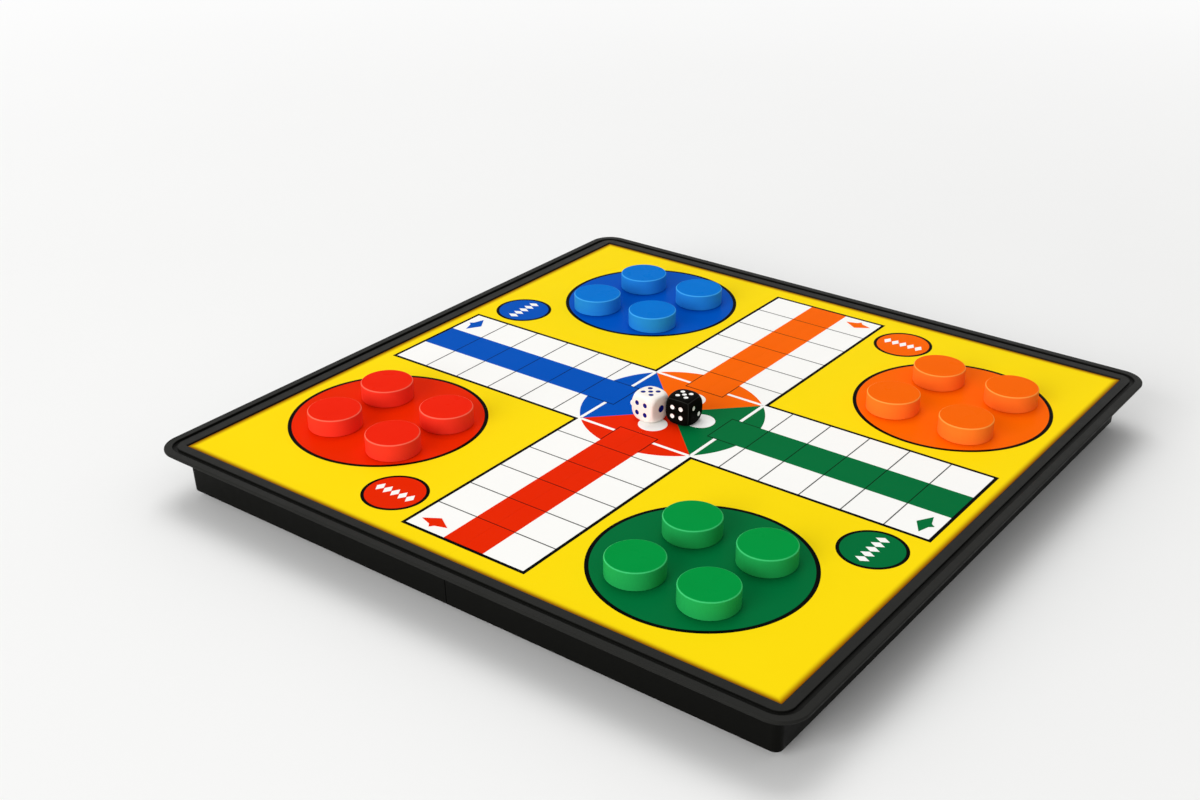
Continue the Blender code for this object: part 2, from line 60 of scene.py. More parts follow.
Pair = tuple[float, float]
Triple = tuple[float, float, float]
Material = bpy.types.Material
Tree = bpy.types.NodeTree
Socket = bpy.types.NodeSocket
LOG = logging.getLogger("ludo_board")

# Plan sizes and heights above the floor that the sub-assemblies share, as the CAD model has them
HALF_LENGTH = 124.0
HALF_WIDTH = 121.5
SHEET_HALF_X = 116.0
SHEET_HALF_Y = 113.5
WALL_SEAM = 0.15
AXIS_Z = 2.3
RIM_Z = 2.45
CEILING_Z = 15.35
SHOULDER_LOW_Z = 16.45
RECESS_Z = 16.95
LIP_LOW_Z = 17.95
PRINT_LOW_Z = 18.05
PRINT_TOP_Z = 18.55
BAND_TOP_Z = 19.05
PIECE_LOW_Z = 18.85

# Where everything that hangs from the top plate ends inside it
PLATE_MIDDLE_Z = (CEILING_Z + RECESS_Z) / 2

# Half the width of the fold in the print and the rim, which are closed tighter than in the CAD model
SEAM = 0.015

# How far the discs and dice sink from their CAD places to stand on the ink
SEATING = 0.14

# Parts of an edge's arc, of a corner in plan, of a foot or boss, and of a knuckle
ARC_STEPS = 5
CORNER_STEPS = 18
POST_PARTS = 64
KNUCKLE_PARTS = 48

# The angle from which an edge looks sharp, and the distance in metres within which points are merged
SHARP_ANGLE = math.radians(38)
WELD_DISTANCE = 2e-7

# The length in millimetres that counts as touching, and the least divisor
TOUCH = 0.01
TINY = 1e-9

# The colour sockets of a Mix node: share, first and second colour, and result
MIX_SHARE, MIX_FIRST, MIX_SECOND, MIX_RESULT = 0, 6, 7, 2

# A quarter turn clockwise in plan, for points in rows
QUARTER_TURN = np.array([[0.0, -1.0], [1.0, 0.0]])


class Named(Enum):
    """An option whose name is also part of the name of a node, a piece, a material or a value."""

    @property
    def word(self) -> str:
        """Return the name as it is written there, in small letters."""
        return self.name.lower()


class Colour(Named):
    """A colour of an ink or of a die, in the order in which the inks become pieces."""

    BLACK = auto()
    BLUE = auto()
    GREEN = auto()
    GREY = auto()
    ORANGE = auto()
    RED = auto()
    WHITE = auto()
    YELLOW = auto()


class PointValue(Named):
    """A number that a mesh holds at each point, for its finish to read."""

    # Share of painted shade on the case's walls under the lip and in its groove
    COARSE = auto()
    # Share of a painted highlight on the edges of the discs and dice, and of painted light on the discs'
    # sides
    EDGE = auto()
    SPOT_DISTANCE = auto()


class Side(Named):
    """A half of the board, with the sign of its y."""

    REAR = 1
    FRONT = -1

    @property
    def body(self) -> str:
        """Return the name of the body that the half moves with."""
        return self.word + "_half"


class Player(Named):
    """A player's colour, with its quarter turns clockwise from the red corner."""

    RED = 0
    BLUE = 1
    ORANGE = 2
    GREEN = 3

    @property
    def colour(self) -> Colour:
        """Return the colour of the player's ink."""
        return Colour[self.name]


class Layer(IntEnum):
    """The places of the inks above the film, from the lowest up."""

    BORDER = 1
    FIELD = 2
    CENTRE = 3
    LANE = 4
    LINE = 5
    TOKEN = 6


@dataclass
class Surface:
    """Points in millimetres and the faces between them.

    Each array in faces holds faces of one number of corners. Each array in values holds one number a
    point.
    """

    points: FloatArray
    faces: list[IntArray]
    values: dict[PointValue, FloatArray] = field(default_factory=dict)

    def moved(self, offset: Triple) -> "Surface":
        """Return the surface moved by an offset."""
        return Surface(self.points + np.array(offset), self.faces, self.values)

    def on(self, side: Side) -> "Surface":
        """Return the surface on a half of the board: its y times the half's sign."""
        return Surface(self.points * np.array([1, side.value, 1]), self.faces, self.values)


def joined(surfaces: list[Surface]) -> Surface:
    """Put several surfaces into one.

    Args:
        surfaces: the surfaces, whose points are numbered one after the other.

    Returns:
        One surface of all their points and faces. A value that a surface lacks is 0 on its points.
    """
    starts = np.cumsum([0] + [len(surface.points) for surface in surfaces])
    faces = [group + start for surface, start in zip(surfaces, starts) for group in surface.faces]
    values = {
        kind: np.concatenate([item.values.get(kind, np.zeros(len(item.points))) for item in surfaces])
        for kind in PointValue if any(kind in item.values for item in surfaces)
    }
    return Surface(np.concatenate([surface.points for surface in surfaces]), faces, values)


def grid_faces(rows: int, columns: int, closed_rows: bool, closed_columns: bool) -> IntArray:
    """Number the four-cornered faces of a grid of points, row after row.

    Args:
        rows: number of rows.
        columns: number of points in a row.
        closed_rows: whether the last row joins the first.
        closed_columns: whether each row's last point joins its first.

    Returns:
        Four point numbers a face.
    """
    row, column = np.meshgrid(
        np.arange(rows - (not closed_rows)), np.arange(columns - (not closed_columns)), indexing="ij",
    )
    next_row = (row + 1) % rows * columns
    next_column = (column + 1) % columns
    row = row * columns
    corners = [row + column, row + next_column, next_row + next_column, next_row + column]
    return np.stack(corners, axis=-1).reshape(-1, 4)


def filleted(corners: FloatArray, radii: FloatArray) -> tuple[FloatArray, IntArray]:
    """Round the corners of a closed outline.

    With h half the corner's angle, the arc of radius r touches both sides at r / tan(h) from the corner,
    and its centre is r / sin(h) away on the bisector. The arc's points turn evenly from one touching
    point to the other.

    Args:
        corners: the outline's corners, two numbers each.
        radii: radius at each corner, where 0 leaves it sharp.

    Returns:
        The new outline and, for each of its points, the number of the corner that it comes from.
    """
    back = np.roll(corners, 1, axis=0) - corners
    ahead = np.roll(corners, -1, axis=0) - corners
    back /= np.linalg.norm(back, axis=1, keepdims=True)
    ahead /= np.linalg.norm(ahead, axis=1, keepdims=True)
    half = np.arccos(np.clip(np.sum(back * ahead, axis=1), -1, 1)) / 2
    bisector = back + ahead
    bisector /= np.maximum(np.linalg.norm(bisector, axis=1, keepdims=True), TINY)
    centres = corners + bisector * (radii / np.sin(half))[:, None]
    touching = (radii / np.tan(half))[:, None]
    first = corners + back * touching - centres
    last = corners + ahead * touching - centres
    turn = np.maximum(math.pi - 2 * half, TINY)[:, None, None]
    share = np.linspace(0, 1, ARC_STEPS + 1)[None, :, None]
    weights_first = np.sin((1 - share) * turn) / np.sin(turn)
    weights_last = np.sin(share * turn) / np.sin(turn)
    arcs = centres[:, None] + weights_first * first[:, None] + weights_last * last[:, None]
    return arcs.reshape(-1, 2), np.repeat(np.arange(len(corners)), ARC_STEPS + 1)


def tube(rings: FloatArray) -> Surface:
    """Join closed rings of points one after the other and close the two ends.

    Args:
        rings: points of every ring, with as many points in each.

    Returns:
        A closed surface.
    """
    count, length = rings.shape[:2]
    ends = np.stack([np.arange(length), np.arange(length) + (count - 1) * length])
    return Surface(rings.reshape(-1, 3), [grid_faces(count, length, False, True), ends])


def turned(profile: FloatArray, segments: int, closed: bool = False) -> Surface:
    """Turn a profile about Z: at angle a, radius r and height z give (r cos a, r sin a, z).

    Args:
        profile: radius and height of each point.
        segments: number of parts of the whole turn.
        closed: whether the profile's last point joins its first, as in a ring.

    Returns:
        The turned surface.
    """
    angles = np.linspace(0, 2 * math.pi, segments, endpoint=False)[:, None]
    radius, height = profile[:, 0], profile[:, 1]
    points = np.stack([radius * np.cos(angles), radius * np.sin(angles), height + 0 * angles], axis=-1)
    return Surface(points.reshape(-1, 3), [grid_faces(segments, len(profile), True, closed)])


def rectangle(low_x: float, low_y: float, high_x: float, high_y: float) -> FloatArray:
    """Return a rectangle's four corners in plan."""
    return np.array([(low_x, low_y), (high_x, low_y), (high_x, high_y), (low_x, high_y)])


def circle(centre: Pair, radius: float, parts: int) -> FloatArray:
    """Return a circle's outline in plan: centre plus radius times (cos a, sin a)."""
    angles = np.linspace(0, 2 * math.pi, parts, endpoint=False)
    return np.array(centre) + radius * np.column_stack([np.cos(angles), np.sin(angles)])


def plate(outline: FloatArray, low_z: float, high_z: float) -> Surface:
    """Raise a flat outline between two heights.

    Args:
        outline: corners in plan.
        low_z: height of the underside.
        high_z: height of the top.

    Returns:
        A closed prism.
    """
    rings = [np.column_stack([outline, np.full(len(outline), z)]) for z in (low_z, high_z)]
    return tube(np.stack(rings))


def add_node(
    tree: Tree, kind: str, settings: dict[str, Any] | None = None,
    values: dict[str | int, Any] | None = None, links: dict[str | int, Socket] | None = None,
) -> bpy.types.Node:
    """Add a shader node with its settings, values and links.

    Args:
        tree: the node tree that gets the node.
        kind: Blender's name for the type of node.
        settings: the node's own properties.
        values: constants for its input sockets.
        links: output sockets, each under the input socket that it feeds.

    Returns:
        The new node.
    """
    node = tree.nodes.new(kind)
    for name, value in (settings or {}).items():
        setattr(node, name, value)
    for key, value in (values or {}).items():
        node.inputs[key].default_value = value
    for key, source in (links or {}).items():
        tree.links.new(source, node.inputs[key])
    return node


def linear(hex_colour: str) -> tuple[float, float, float, float]:
    """Turn an sRGB hex colour to linear light.

    A channel c of up to 0.04045 gives c / 12.92, and a larger one gives ((c + 0.055) / 1.055) ** 2.4.

    Args:
        hex_colour: a number sign and six hex digits.

    Returns:
        Red, green and blue in linear light, and full opacity.
    """
    channels = np.array([int(hex_colour[start:start + 2], 16) for start in (1, 3, 5)]) / 255
    values = np.where(channels <= 0.04045, channels / 12.92, ((channels + 0.055) / 1.055) ** 2.4)
    return (*values.tolist(), 1.0)


@dataclass(frozen=True)
class Overlay:
    """A tone over a finish's own.

    Its share grows evenly from 0, where a value that the mesh holds is at the start, to the strength,
    where the value is full.
    """

    tone: str
    value: PointValue
    start: float = 0.0
    full: float = 1.0
    strength: float = 1.0


@dataclass(frozen=True)
class Finish:
    """A surface finish worked out on object coordinates, with its sizes in millimetres.

    Two tones cloud the colour and a fine grain lifts the surface. Patches some grains wide change the
    gloss, between two levels of their noise. A stretch below 1 draws all of them out along its axis. The
    IOR is the material's own, and specular is the share of its reflection that the object shows, where
    0.5 is the whole.
    """

    name: str
    colour: str
    cloud: str
    roughness: float
    gloss_change: float
    grain: float
    relief: float
    cloud_size: float = 14.0
    ior: float = 1.5
    specular: float = 0.5
    metallic: float = 0.0
    stretch: Triple = (1.0, 1.0, 1.0)
    overlays: tuple[Overlay, ...] = ()
    gloss_grains: float = 9.0
    gloss_low: float = 0.3
    gloss_high: float = 0.7
    cloud_detail: float = 3.0
    grain_detail: float = 2.0

    def material(self) -> Material:
        """Turn the finish into a material. A metal keeps the default IOR.

        Returns:
            A new material whose colour, roughness and bump come from noise on object coordinates.
        """
        material = bpy.data.materials.new(self.name)
        material.use_nodes = True
        tree = material.node_tree
        shader = tree.nodes["Principled BSDF"]
        shader.inputs["Metallic"].default_value = self.metallic
        if not self.metallic:
            shader.inputs["IOR"].default_value = self.ior
            shader.inputs["Specular IOR Level"].default_value = self.specular
        place = add_node(tree, "ShaderNodeTexCoord").outputs["Object"]
        stretched = add_node(
            tree, "ShaderNodeMapping", values={"Scale": self.stretch}, links={"Vector": place},
        ).outputs["Vector"]
        clouds, patches, grains = (
            add_node(
                tree, "ShaderNodeTexNoise", values={"Scale": 1 / (size * MM), "Detail": detail},
                links={"Vector": stretched},
            ).outputs["Fac"]
            for size, detail in (
                (self.cloud_size, self.cloud_detail), (self.grain * self.gloss_grains, self.cloud_detail),
                (self.grain, self.grain_detail),
            )
        )
        roughness = add_node(
            tree, "ShaderNodeMapRange",
            values={
                "From Min": self.gloss_low, "From Max": self.gloss_high,
                "To Min": self.roughness - self.gloss_change, "To Max": self.roughness + self.gloss_change,
            },
            links={"Value": patches},
        )
        bump = add_node(
            tree, "ShaderNodeBump", values={"Strength": 1.0, "Distance": self.relief * MM},
            links={"Height": grains},
        )
        tree.links.new(self.coloured(tree, place, clouds), shader.inputs["Base Color"])
        tree.links.new(roughness.outputs["Result"], shader.inputs["Roughness"])
        tree.links.new(bump.outputs["Normal"], shader.inputs["Normal"])
        return material

    def coloured(self, tree: Tree, place: Socket, clouds: Socket) -> Socket:
        """Mix the two cloud tones, and the other tones over them one after the other.

        Args:
            tree: the material's node tree.
            place: object coordinates.
            clouds: the share of the second cloud tone.

        Returns:
            The output socket of the last mix.
        """
        colour = add_node(
            tree, "ShaderNodeMix", {"data_type": "RGBA"},
            {MIX_FIRST: linear(self.colour), MIX_SECOND: linear(self.cloud)},
            {MIX_SHARE: clouds},
        ).outputs[MIX_RESULT]
        for tone, share in self.shares(tree, place):
            colour = add_node(
                tree, "ShaderNodeMix", {"data_type": "RGBA"}, {MIX_SECOND: linear(tone)},
                {MIX_SHARE: share, MIX_FIRST: colour},
            ).outputs[MIX_RESULT]
        return colour

    def shares(self, tree: Tree, place: Socket) -> list[tuple[str, Socket]]:
        """Work out how far each overlay covers the colour.

        Args:
            tree: the material's node tree.
            place: object coordinates, for finishes that shade by place.

        Returns:
            Each overlay's tone with the output socket of its share.
        """
        found = []
        for overlay in self.overlays:
            value = add_node(tree, "ShaderNodeAttribute", {"attribute_name": overlay.value.word})
            share = add_node(
                tree, "ShaderNodeMapRange",
                values={"From Min": overlay.start, "From Max": overlay.full, "To Max": overlay.strength},
                links={"Value": value.outputs["Fac"]},
            )
            found.append((overlay.tone, share.outputs["Result"]))
        return found


@dataclass(frozen=True)
class RimShadedFinish(Finish):
    """A finish with painted shade that darkens it softly where the sheet meets the band of the rim."""

    # Tone of the painted shade along the rim
    edge: str = "#8F4B00"
    reach: float = 2.8
    overrun: float = 0.5

    def shares(self, tree: Tree, place: Socket) -> list[tuple[str, Socket]]:
        """Let the tone of the painted shade fade with the distance from the nearest edge of the open board.

        Args:
            tree: the material's node tree.
            place: object coordinates.

        Returns:
            The tone of the painted shade with the output socket of its share.
        """
        parts = add_node(tree, "ShaderNodeSeparateXYZ", links={0: place}).outputs
        distances = {}
        for axis, half in enumerate((SHEET_HALF_X, SHEET_HALF_Y)):
            size = add_node(tree, "ShaderNodeMath", {"operation": "ABSOLUTE"}, links={0: parts[axis]})
            distances[axis] = add_node(
                tree, "ShaderNodeMath", {"operation": "SUBTRACT"}, {0: half * MM}, {1: size.outputs[0]},
            ).outputs[0]
        nearest = add_node(tree, "ShaderNodeMath", {"operation": "MINIMUM"}, links=distances)
        share = add_node(
            tree, "ShaderNodeMapRange", {"interpolation_type": "SMOOTHERSTEP"},
            {"From Min": -self.overrun * MM, "From Max": self.reach * MM, "To Min": 1.0, "To Max": 0.0},
            {"Value": nearest.outputs[0]},
        )
        return [(self.edge, share.outputs["Result"])]


# Marks finer than 0.3 mm don't show in the render. On the real parts the grain of the sparked tool, the
# lines of rolling and drawing and the pressed powder are finer, and here they are 0.3 to 0.5 mm wide

# ABS moulded in a finely sparked tool: satin black with a broad, dull sheen on the rim. Painted shade makes
# the walls outside, below the lip, and the deeper part of the groove darker
CASE_ABS = Finish(
    "moulded_black_abs", "#232321", "#1F1F1D", roughness=0.45, gloss_change=0.06, grain=0.4, relief=0.012,
    ior=1.53, specular=0.0365, overlays=(Overlay("#0A0A08", PointValue.COARSE),),
)

# Offset ink under clear polyester film: flat strong colour, a faint sheen and a slight orange peel
LAMINATE = {
    "roughness": 0.34, "gloss_change": 0.04, "grain": 1.6, "relief": 0.004, "cloud_size": 30.0,
    "ior": 1.57, "specular": 0.00488,
}
INKS = {
    ink: kind(f"laminated_{ink.word}_ink", tone, cloud, **LAMINATE)
    for ink, kind, tone, cloud in (
        (Colour.YELLOW, RimShadedFinish, "#FEDF0E", "#FDDB0C"),
        (Colour.BLACK, Finish, "#040504", "#060706"),
        (Colour.WHITE, Finish, "#FDFCF9", "#FAF9F5"),
        (Colour.GREY, Finish, "#5E5E5C", "#545452"),
        (Colour.RED, Finish, "#EA2A01", "#E52601"),
        (Colour.BLUE, Finish, "#0055BE", "#0050B6"),
        (Colour.ORANGE, Finish, "#FC6902", "#F96402"),
        (Colour.GREEN, Finish, "#02703A", "#026A36"),
    )
}

# Polystyrene moulded in polished tools: clear strong colour, with a painted highlight along the round upper
# edge
STYRENE = {
    "roughness": 0.3, "gloss_change": 0.04, "grain": 0.8, "relief": 0.004, "cloud_size": 8.0,
    "ior": 1.59, "specular": 0.00385,
}
DISC_STYRENE = {
    player: Finish(
        f"moulded_{player.word}_styrene", tone, cloud, **STYRENE,
        overlays=(Overlay(highlight, PointValue.EDGE, strength=0.62),),
    )
    for player, tone, cloud, highlight in (
        (Player.RED, "#F2260C", "#EE220A", "#FF8A70"), (Player.BLUE, "#0076D4", "#0070CC", "#58C2FF"),
        (Player.ORANGE, "#FB6805", "#F86403", "#FFB85C"), (Player.GREEN, "#029640", "#02903C", "#52DC8A"),
    )
}

# How far a disc's side takes its painted highlight's tone: painted light that makes the side lighter than
# the top
SIDE_LIGHTS = {Player.RED: 0.17, Player.BLUE: 0.3, Player.ORANGE: 0.3, Player.GREEN: 0.29}

# Tumbled acrylic with paint in the sunk spots: smooth and glossy, edges soft, with a painted highlight along
# them
ACRYLIC = {
    "roughness": 0.25, "gloss_change": 0.03, "grain": 1.2, "relief": 0.003, "cloud_size": 6.0, "ior": 1.49,
}
SPOT_BLUR = 0.04
DIE_ACRYLIC = {
    colour: Finish(
        f"tumbled_{colour.word}_acrylic", tone, cloud, **ACRYLIC, specular=specular,
        overlays=(
            Overlay(highlight, PointValue.EDGE, strength=0.5),
            Overlay(paint, PointValue.SPOT_DISTANCE, start=SPOT_BLUR, full=-SPOT_BLUR),
        ),
    )
    for colour, tone, cloud, specular, highlight, paint in (
        (Colour.WHITE, "#FBF4EC", "#F8F0E7", 0.124, "#FFFFFF", "#08157A"),
        (Colour.BLACK, "#0A0908", "#0D0C0A", 0.00516, "#3E3D3A", "#FBFAF7"),
    )
}

# Tinned sheet steel, rolled along X: grey metal with fine lines along the rolling
TINNED_STEEL = Finish(
    "rolled_tinned_steel", "#C2C4C6", "#B4B6B9", roughness=0.34, gloss_change=0.08, grain=0.5, relief=0.006,
    metallic=1.0, stretch=(0.06, 1.0, 1.0),
)

# Drawn steel wire: brighter and smoother than the sheet, drawn along X
DRAWN_STEEL = Finish(
    "drawn_steel_wire", "#CDCFD1", "#BFC1C4", roughness=0.25, gloss_change=0.06, grain=0.3, relief=0.004,
    metallic=1.0, stretch=(0.06, 1.0, 1.0),
)

# Sintered ferrite: dark grey and matt, with the grain of pressed powder
FERRITE = Finish(
    "sintered_ferrite", "#3A3A3D", "#323235", roughness=0.6, gloss_change=0.08, grain=0.35, relief=0.02,
    cloud_size=3.0, ior=2.3, specular=0.103,
)

# Matt paint on a wide sheet under everything: pale and even, without a sheen
FLOOR_PAINT = Finish(
    "matt_pale_paint", "#F6F6F5", "#F3F3F2", roughness=0.85, gloss_change=0.05, grain=3.0, relief=0.01,
    cloud_size=200.0, specular=0.1,
)


def add_object(name: str, data: bpy.types.ID) -> bpy.types.Object:
    """Add an object to the scene, at the origin.

    Args:
        name: the object's name.
        data: the mesh, light or camera that it holds.

    Returns:
        The new object.
    """
    item = bpy.data.objects.new(name, data)
    bpy.context.scene.collection.objects.link(item)
    return item


def make_piece(
    name: str, surface: Surface, material: Material, body: str, slot: str,
    nodes: tuple[str, ...] = (), weighted: bool = True,
) -> None:
    """Make a surface a piece of the board that rides on a body.

    Args:
        name: the piece's name.
        surface: its closed surfaces.
        material: its finish.
        body: the body that it rides on.
        slot: the name of a material slot; it is not used.
        nodes: the CAD nodes that it stands for.
        weighted: whether large faces pull the normals of the small ones beside them.
    """
    mesh = bpy.data.meshes.new(name)
    corners = np.concatenate([group.ravel() for group in surface.faces])
    sizes = np.concatenate([np.full(len(group), group.shape[1]) for group in surface.faces])
    mesh.vertices.add(len(surface.points))
    mesh.vertices.foreach_set("co", (surface.points * MM).astype(np.float32).ravel())
    mesh.loops.add(len(corners))
    mesh.loops.foreach_set("vertex_index", corners.astype(np.int32))
    mesh.polygons.add(len(sizes))
    mesh.polygons.foreach_set("loop_start", (np.cumsum(sizes) - sizes).astype(np.int32))
    for kind, numbers in surface.values.items():
        attribute = mesh.attributes.new(kind.word, "FLOAT", "POINT")
        attribute.data.foreach_set("value", numbers.astype(np.float32))
    mesh.update(calc_edges=True)
    grid = bmesh.new()
    grid.from_mesh(mesh)
    bmesh.ops.remove_doubles(grid, verts=grid.verts, dist=WELD_DISTANCE)
    bmesh.ops.dissolve_degenerate(grid, edges=grid.edges, dist=WELD_DISTANCE)
    bmesh.ops.recalc_face_normals(grid, faces=grid.faces)
    grid.to_mesh(mesh)
    grid.free()
    mesh.shade_smooth()
    mesh.set_sharp_from_angle(angle=SHARP_ANGLE)
    mesh.materials.append(material)
    piece = add_object(name, mesh)
    if weighted:
        modifier = piece.modifiers.new("weighted_normals", "WEIGHTED_NORMAL")
        modifier.keep_sharp = True
    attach(piece, body)
    if nodes:
        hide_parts(*nodes)
    LOG.info("%s: %d faces on %s", name, len(mesh.polygons), body)


def finish_nodes(names: list[str], material: Material) -> None:
    """Give CAD nodes that keep their shape a finish.

    Args:
        names: the nodes.
        material: the finish for all of them.
    """
    for name in names:
        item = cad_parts[name]
        if not item.material_slots:
            item.data.materials.append(material)
        item.material_slots[0].material = material
        LOG.info("%s keeps its shape and is finished in %s", name, material.name)


@dataclass
class CaseHalf:
    """A moulded half of the case: rim, walls, top plate, ribs, feet, magnet bosses and knuckles."""

    side: Side
    material: Material
    rim_width: float = 7.7
    lip_width: float = 2.7
    lip_low_edge: float = 0.35
    lip_top_edge: float = 0.4
    groove_width: float = 1.7
    groove_depth: float = 0.9
    groove_edge: float = 0.2
    band_edge: float = 0.25
    shoulder_inset: float = 1.6
    shoulder_edge: float = 0.4
    hollow_edge: float = 0.3
    corner_radius: float = 9.0
    wall_corner_radius: float = 2.5
    tray_corner_radius: float = 0.7
    sheet_corner_radius: float = 0.3
    # Painted shade in the groove grows over this depth below the band, up to groove_share
    shade_depth: float = 0.25
    groove_share: float = 0.7
    wall_inset: float = 7.5
    wall_draft: float = 0.5
    wall_thickness: float = 1.8
    wall_edge: float = 0.25
    wall_points: int = 15
    overlap: float = 0.75
    rib_x: float = 38.0
    rib_height: float = 2.5
    rib_thickness: float = 1.2
    rib_edge: float = 0.3
    rib_reach: float = 1.15
    rear_foot_x: float = 102.0
    front_foot_x: float = 90.0
    foot_y: float = 102.5
    foot_radius: float = 3.5
    foot_edge: float = 0.5
    magnet_x: float = 70.0
    magnet_y: float = 108.1
    boss_radius: float = 4.5
    boss_edge: float = 0.2
    pocket_radius: float = 3.3
    pocket_top: float = 6.05
    pocket_edge: float = 0.1
    hinge_x: float = 75.0
    middle_end: float = 6.0
    outer_start: float = 6.3
    outer_end: float = 12.3
    knuckle_edge: float = 0.15
    barrel_radius: float = 2.0
    bore_radius: float = 1.1
    notch_gap: float = 0.4
    hidden_radius: float = 1.6

    def rim_section(self) -> tuple[FloatArray, FloatArray]:
        """Work out the section of the rim and the wall under it.

        Returns:
            The inset and height of each point, and the radius that it follows round the board's corners.
        """
        wall_low = self.wall_inset + self.wall_draft
        groove_end = self.lip_width + self.groove_width
        groove_z = BAND_TOP_Z - self.groove_depth
        shoulder_radius = self.corner_radius - self.shoulder_inset
        lip_radius = self.corner_radius - self.lip_width
        band_radius = self.corner_radius - groove_end
        corners = np.array([
            # inset, height, radius of the edge, radius in plan
            (wall_low, RIM_Z, self.wall_edge, self.wall_corner_radius),
            (self.wall_inset, SHOULDER_LOW_Z, self.hollow_edge, self.wall_corner_radius),
            (self.shoulder_inset, SHOULDER_LOW_Z, self.shoulder_edge, shoulder_radius),
            (self.shoulder_inset, LIP_LOW_Z, self.hollow_edge, shoulder_radius),
            (0.0, LIP_LOW_Z, self.lip_low_edge, self.corner_radius),
            (0.0, BAND_TOP_Z, self.lip_top_edge, self.corner_radius),
            (self.lip_width, BAND_TOP_Z, self.groove_edge, lip_radius),
            (self.lip_width, groove_z, self.groove_edge, lip_radius),
            (groove_end, groove_z, self.groove_edge, band_radius),
            (groove_end, BAND_TOP_Z, self.groove_edge, band_radius),
            (self.rim_width, BAND_TOP_Z, self.band_edge, self.sheet_corner_radius),
            (self.rim_width, RECESS_Z, 0.0, self.sheet_corner_radius),
            (self.wall_inset + self.wall_thickness, RECESS_Z, 0.0, self.tray_corner_radius),
            (wall_low + self.wall_thickness, RIM_Z, self.wall_edge, self.tray_corner_radius),
        ])
        section, origin = filleted(corners[:, :2], corners[:, 2])
        return section, corners[origin, 3] + corners[origin, 0] - section[:, 0]

    def shade_shares(self, section: FloatArray) -> FloatArray:
        """Work out the share of painted shade at each point of the rim's section.

        Args:
            section: inset and height of each point.

        Returns:
            1 outside below the lip, a share that grows with the depth in the groove, and 0 elsewhere.
        """
        inset, height = section.T
        depth = np.clip((BAND_TOP_Z - height) / self.shade_depth, 0, self.groove_share)
        groove_end = self.lip_width + self.groove_width
        in_groove = (inset > self.lip_width - TOUCH) & (inset < groove_end + TOUCH)
        wall_middle = self.wall_inset + self.wall_draft + self.wall_thickness / 2
        below_lip = (height < LIP_LOW_Z + TOUCH) & (inset > TOUCH) & (inset < wall_middle)
        return np.where(in_groove, depth, below_lip)

    def rim(self) -> Surface:
        """Carry the rim's section round the three outer sides of the half.

        A point at inset d runs straight from the fold, round two arcs of its plan radius about centres
        that lie that radius inside both sides, and straight back to the fold.

        Returns:
            A closed surface, capped at the fold, with its share of painted shade at each point.
        """
        section, radius = self.rim_section()
        half_x = HALF_LENGTH - section[:, 0]
        half_y = HALF_WIDTH - section[:, 0]
        angles = np.linspace(0, math.pi / 2, CORNER_STEPS + 1)[:, None]
        arc_x = half_x - radius + radius * np.cos(angles)
        arc_y = half_y - radius + radius * np.sin(angles)
        x = np.concatenate([half_x[None], arc_x, -arc_x[::-1], -half_x[None]])
        near = np.where(section[:, 1] < RECESS_Z, WALL_SEAM, SEAM)[None]
        y = np.concatenate([near, arc_y, arc_y[::-1], near])
        z = np.broadcast_to(section[:, 1], x.shape)
        found = tube(np.stack([x, y, z], axis=-1))
        found.values[PointValue.COARSE] = np.tile(self.shade_shares(section), len(x))
        return found

    def top_plate(self) -> Surface:
        """Raise the plate that carries the sheets and reaches into the walls.

        Returns:
            A closed prism.
        """
        inset = self.wall_inset + self.overlap
        half_x = HALF_LENGTH - inset
        return plate(rectangle(-half_x, WALL_SEAM, half_x, HALF_WIDTH - inset), CEILING_Z, RECESS_Z)

    def hinge_regions(self) -> tuple[FloatArray, FloatArray]:
        """Work out where the fold wall's lower edge is cut round.

        Returns:
            The ends of the regions along X, and the radius of the cut in each region.
        """
        notch_radius = self.barrel_radius + self.notch_gap
        if self.side is Side.REAR:
            inner, outer = self.middle_end + self.notch_gap, self.outer_end
            radii = [self.hidden_radius, notch_radius, self.hidden_radius]
        else:
            inner, outer = self.outer_start - self.notch_gap, self.outer_end + self.notch_gap
            radii = [notch_radius, self.hidden_radius, notch_radius]
        breaks = np.array([-outer, -inner, inner, outer])
        reach = HALF_LENGTH - self.wall_inset - self.overlap
        ends = np.concatenate([[-reach], breaks - self.hinge_x, breaks + self.hinge_x, [reach]])
        return ends, np.array([0.0, *radii, 0.0, *radii, 0.0])

    def fold_wall(self) -> Surface:
        """Carry the fold wall's section along X, cut round for the knuckles.

        At a distance y from the fold the lower edge is at the higher of the rim's height, rounded at
        both corners, and the hinge axis height plus the square root of r * r - y * y.

        Returns:
            A closed surface.
        """
        ends, radii = self.hinge_regions()
        x = np.repeat(ends, 2)[1:-1][:, None]
        cut = np.repeat(radii, 2)[:, None]
        edge = self.wall_edge
        share = (1 - np.cos(np.linspace(0, math.pi, self.wall_points))) / 2
        y = WALL_SEAM + self.wall_thickness * share
        from_side = np.minimum(np.minimum(y - WALL_SEAM, WALL_SEAM + self.wall_thickness - y), edge)
        plain = RIM_Z + edge - np.sqrt(edge ** 2 - (edge - from_side) ** 2)
        low = np.maximum(plain, AXIS_Z + np.sqrt(np.maximum(cut ** 2 - y ** 2, 0)))
        top = np.full((len(x), 1), PLATE_MIDDLE_Z)
        heights = np.concatenate([low, top, top], axis=1)
        across = np.concatenate([y, [y[-1], y[0]]])
        points = np.stack([x + 0 * heights, across + 0 * heights, heights], axis=-1)
        return tube(points)

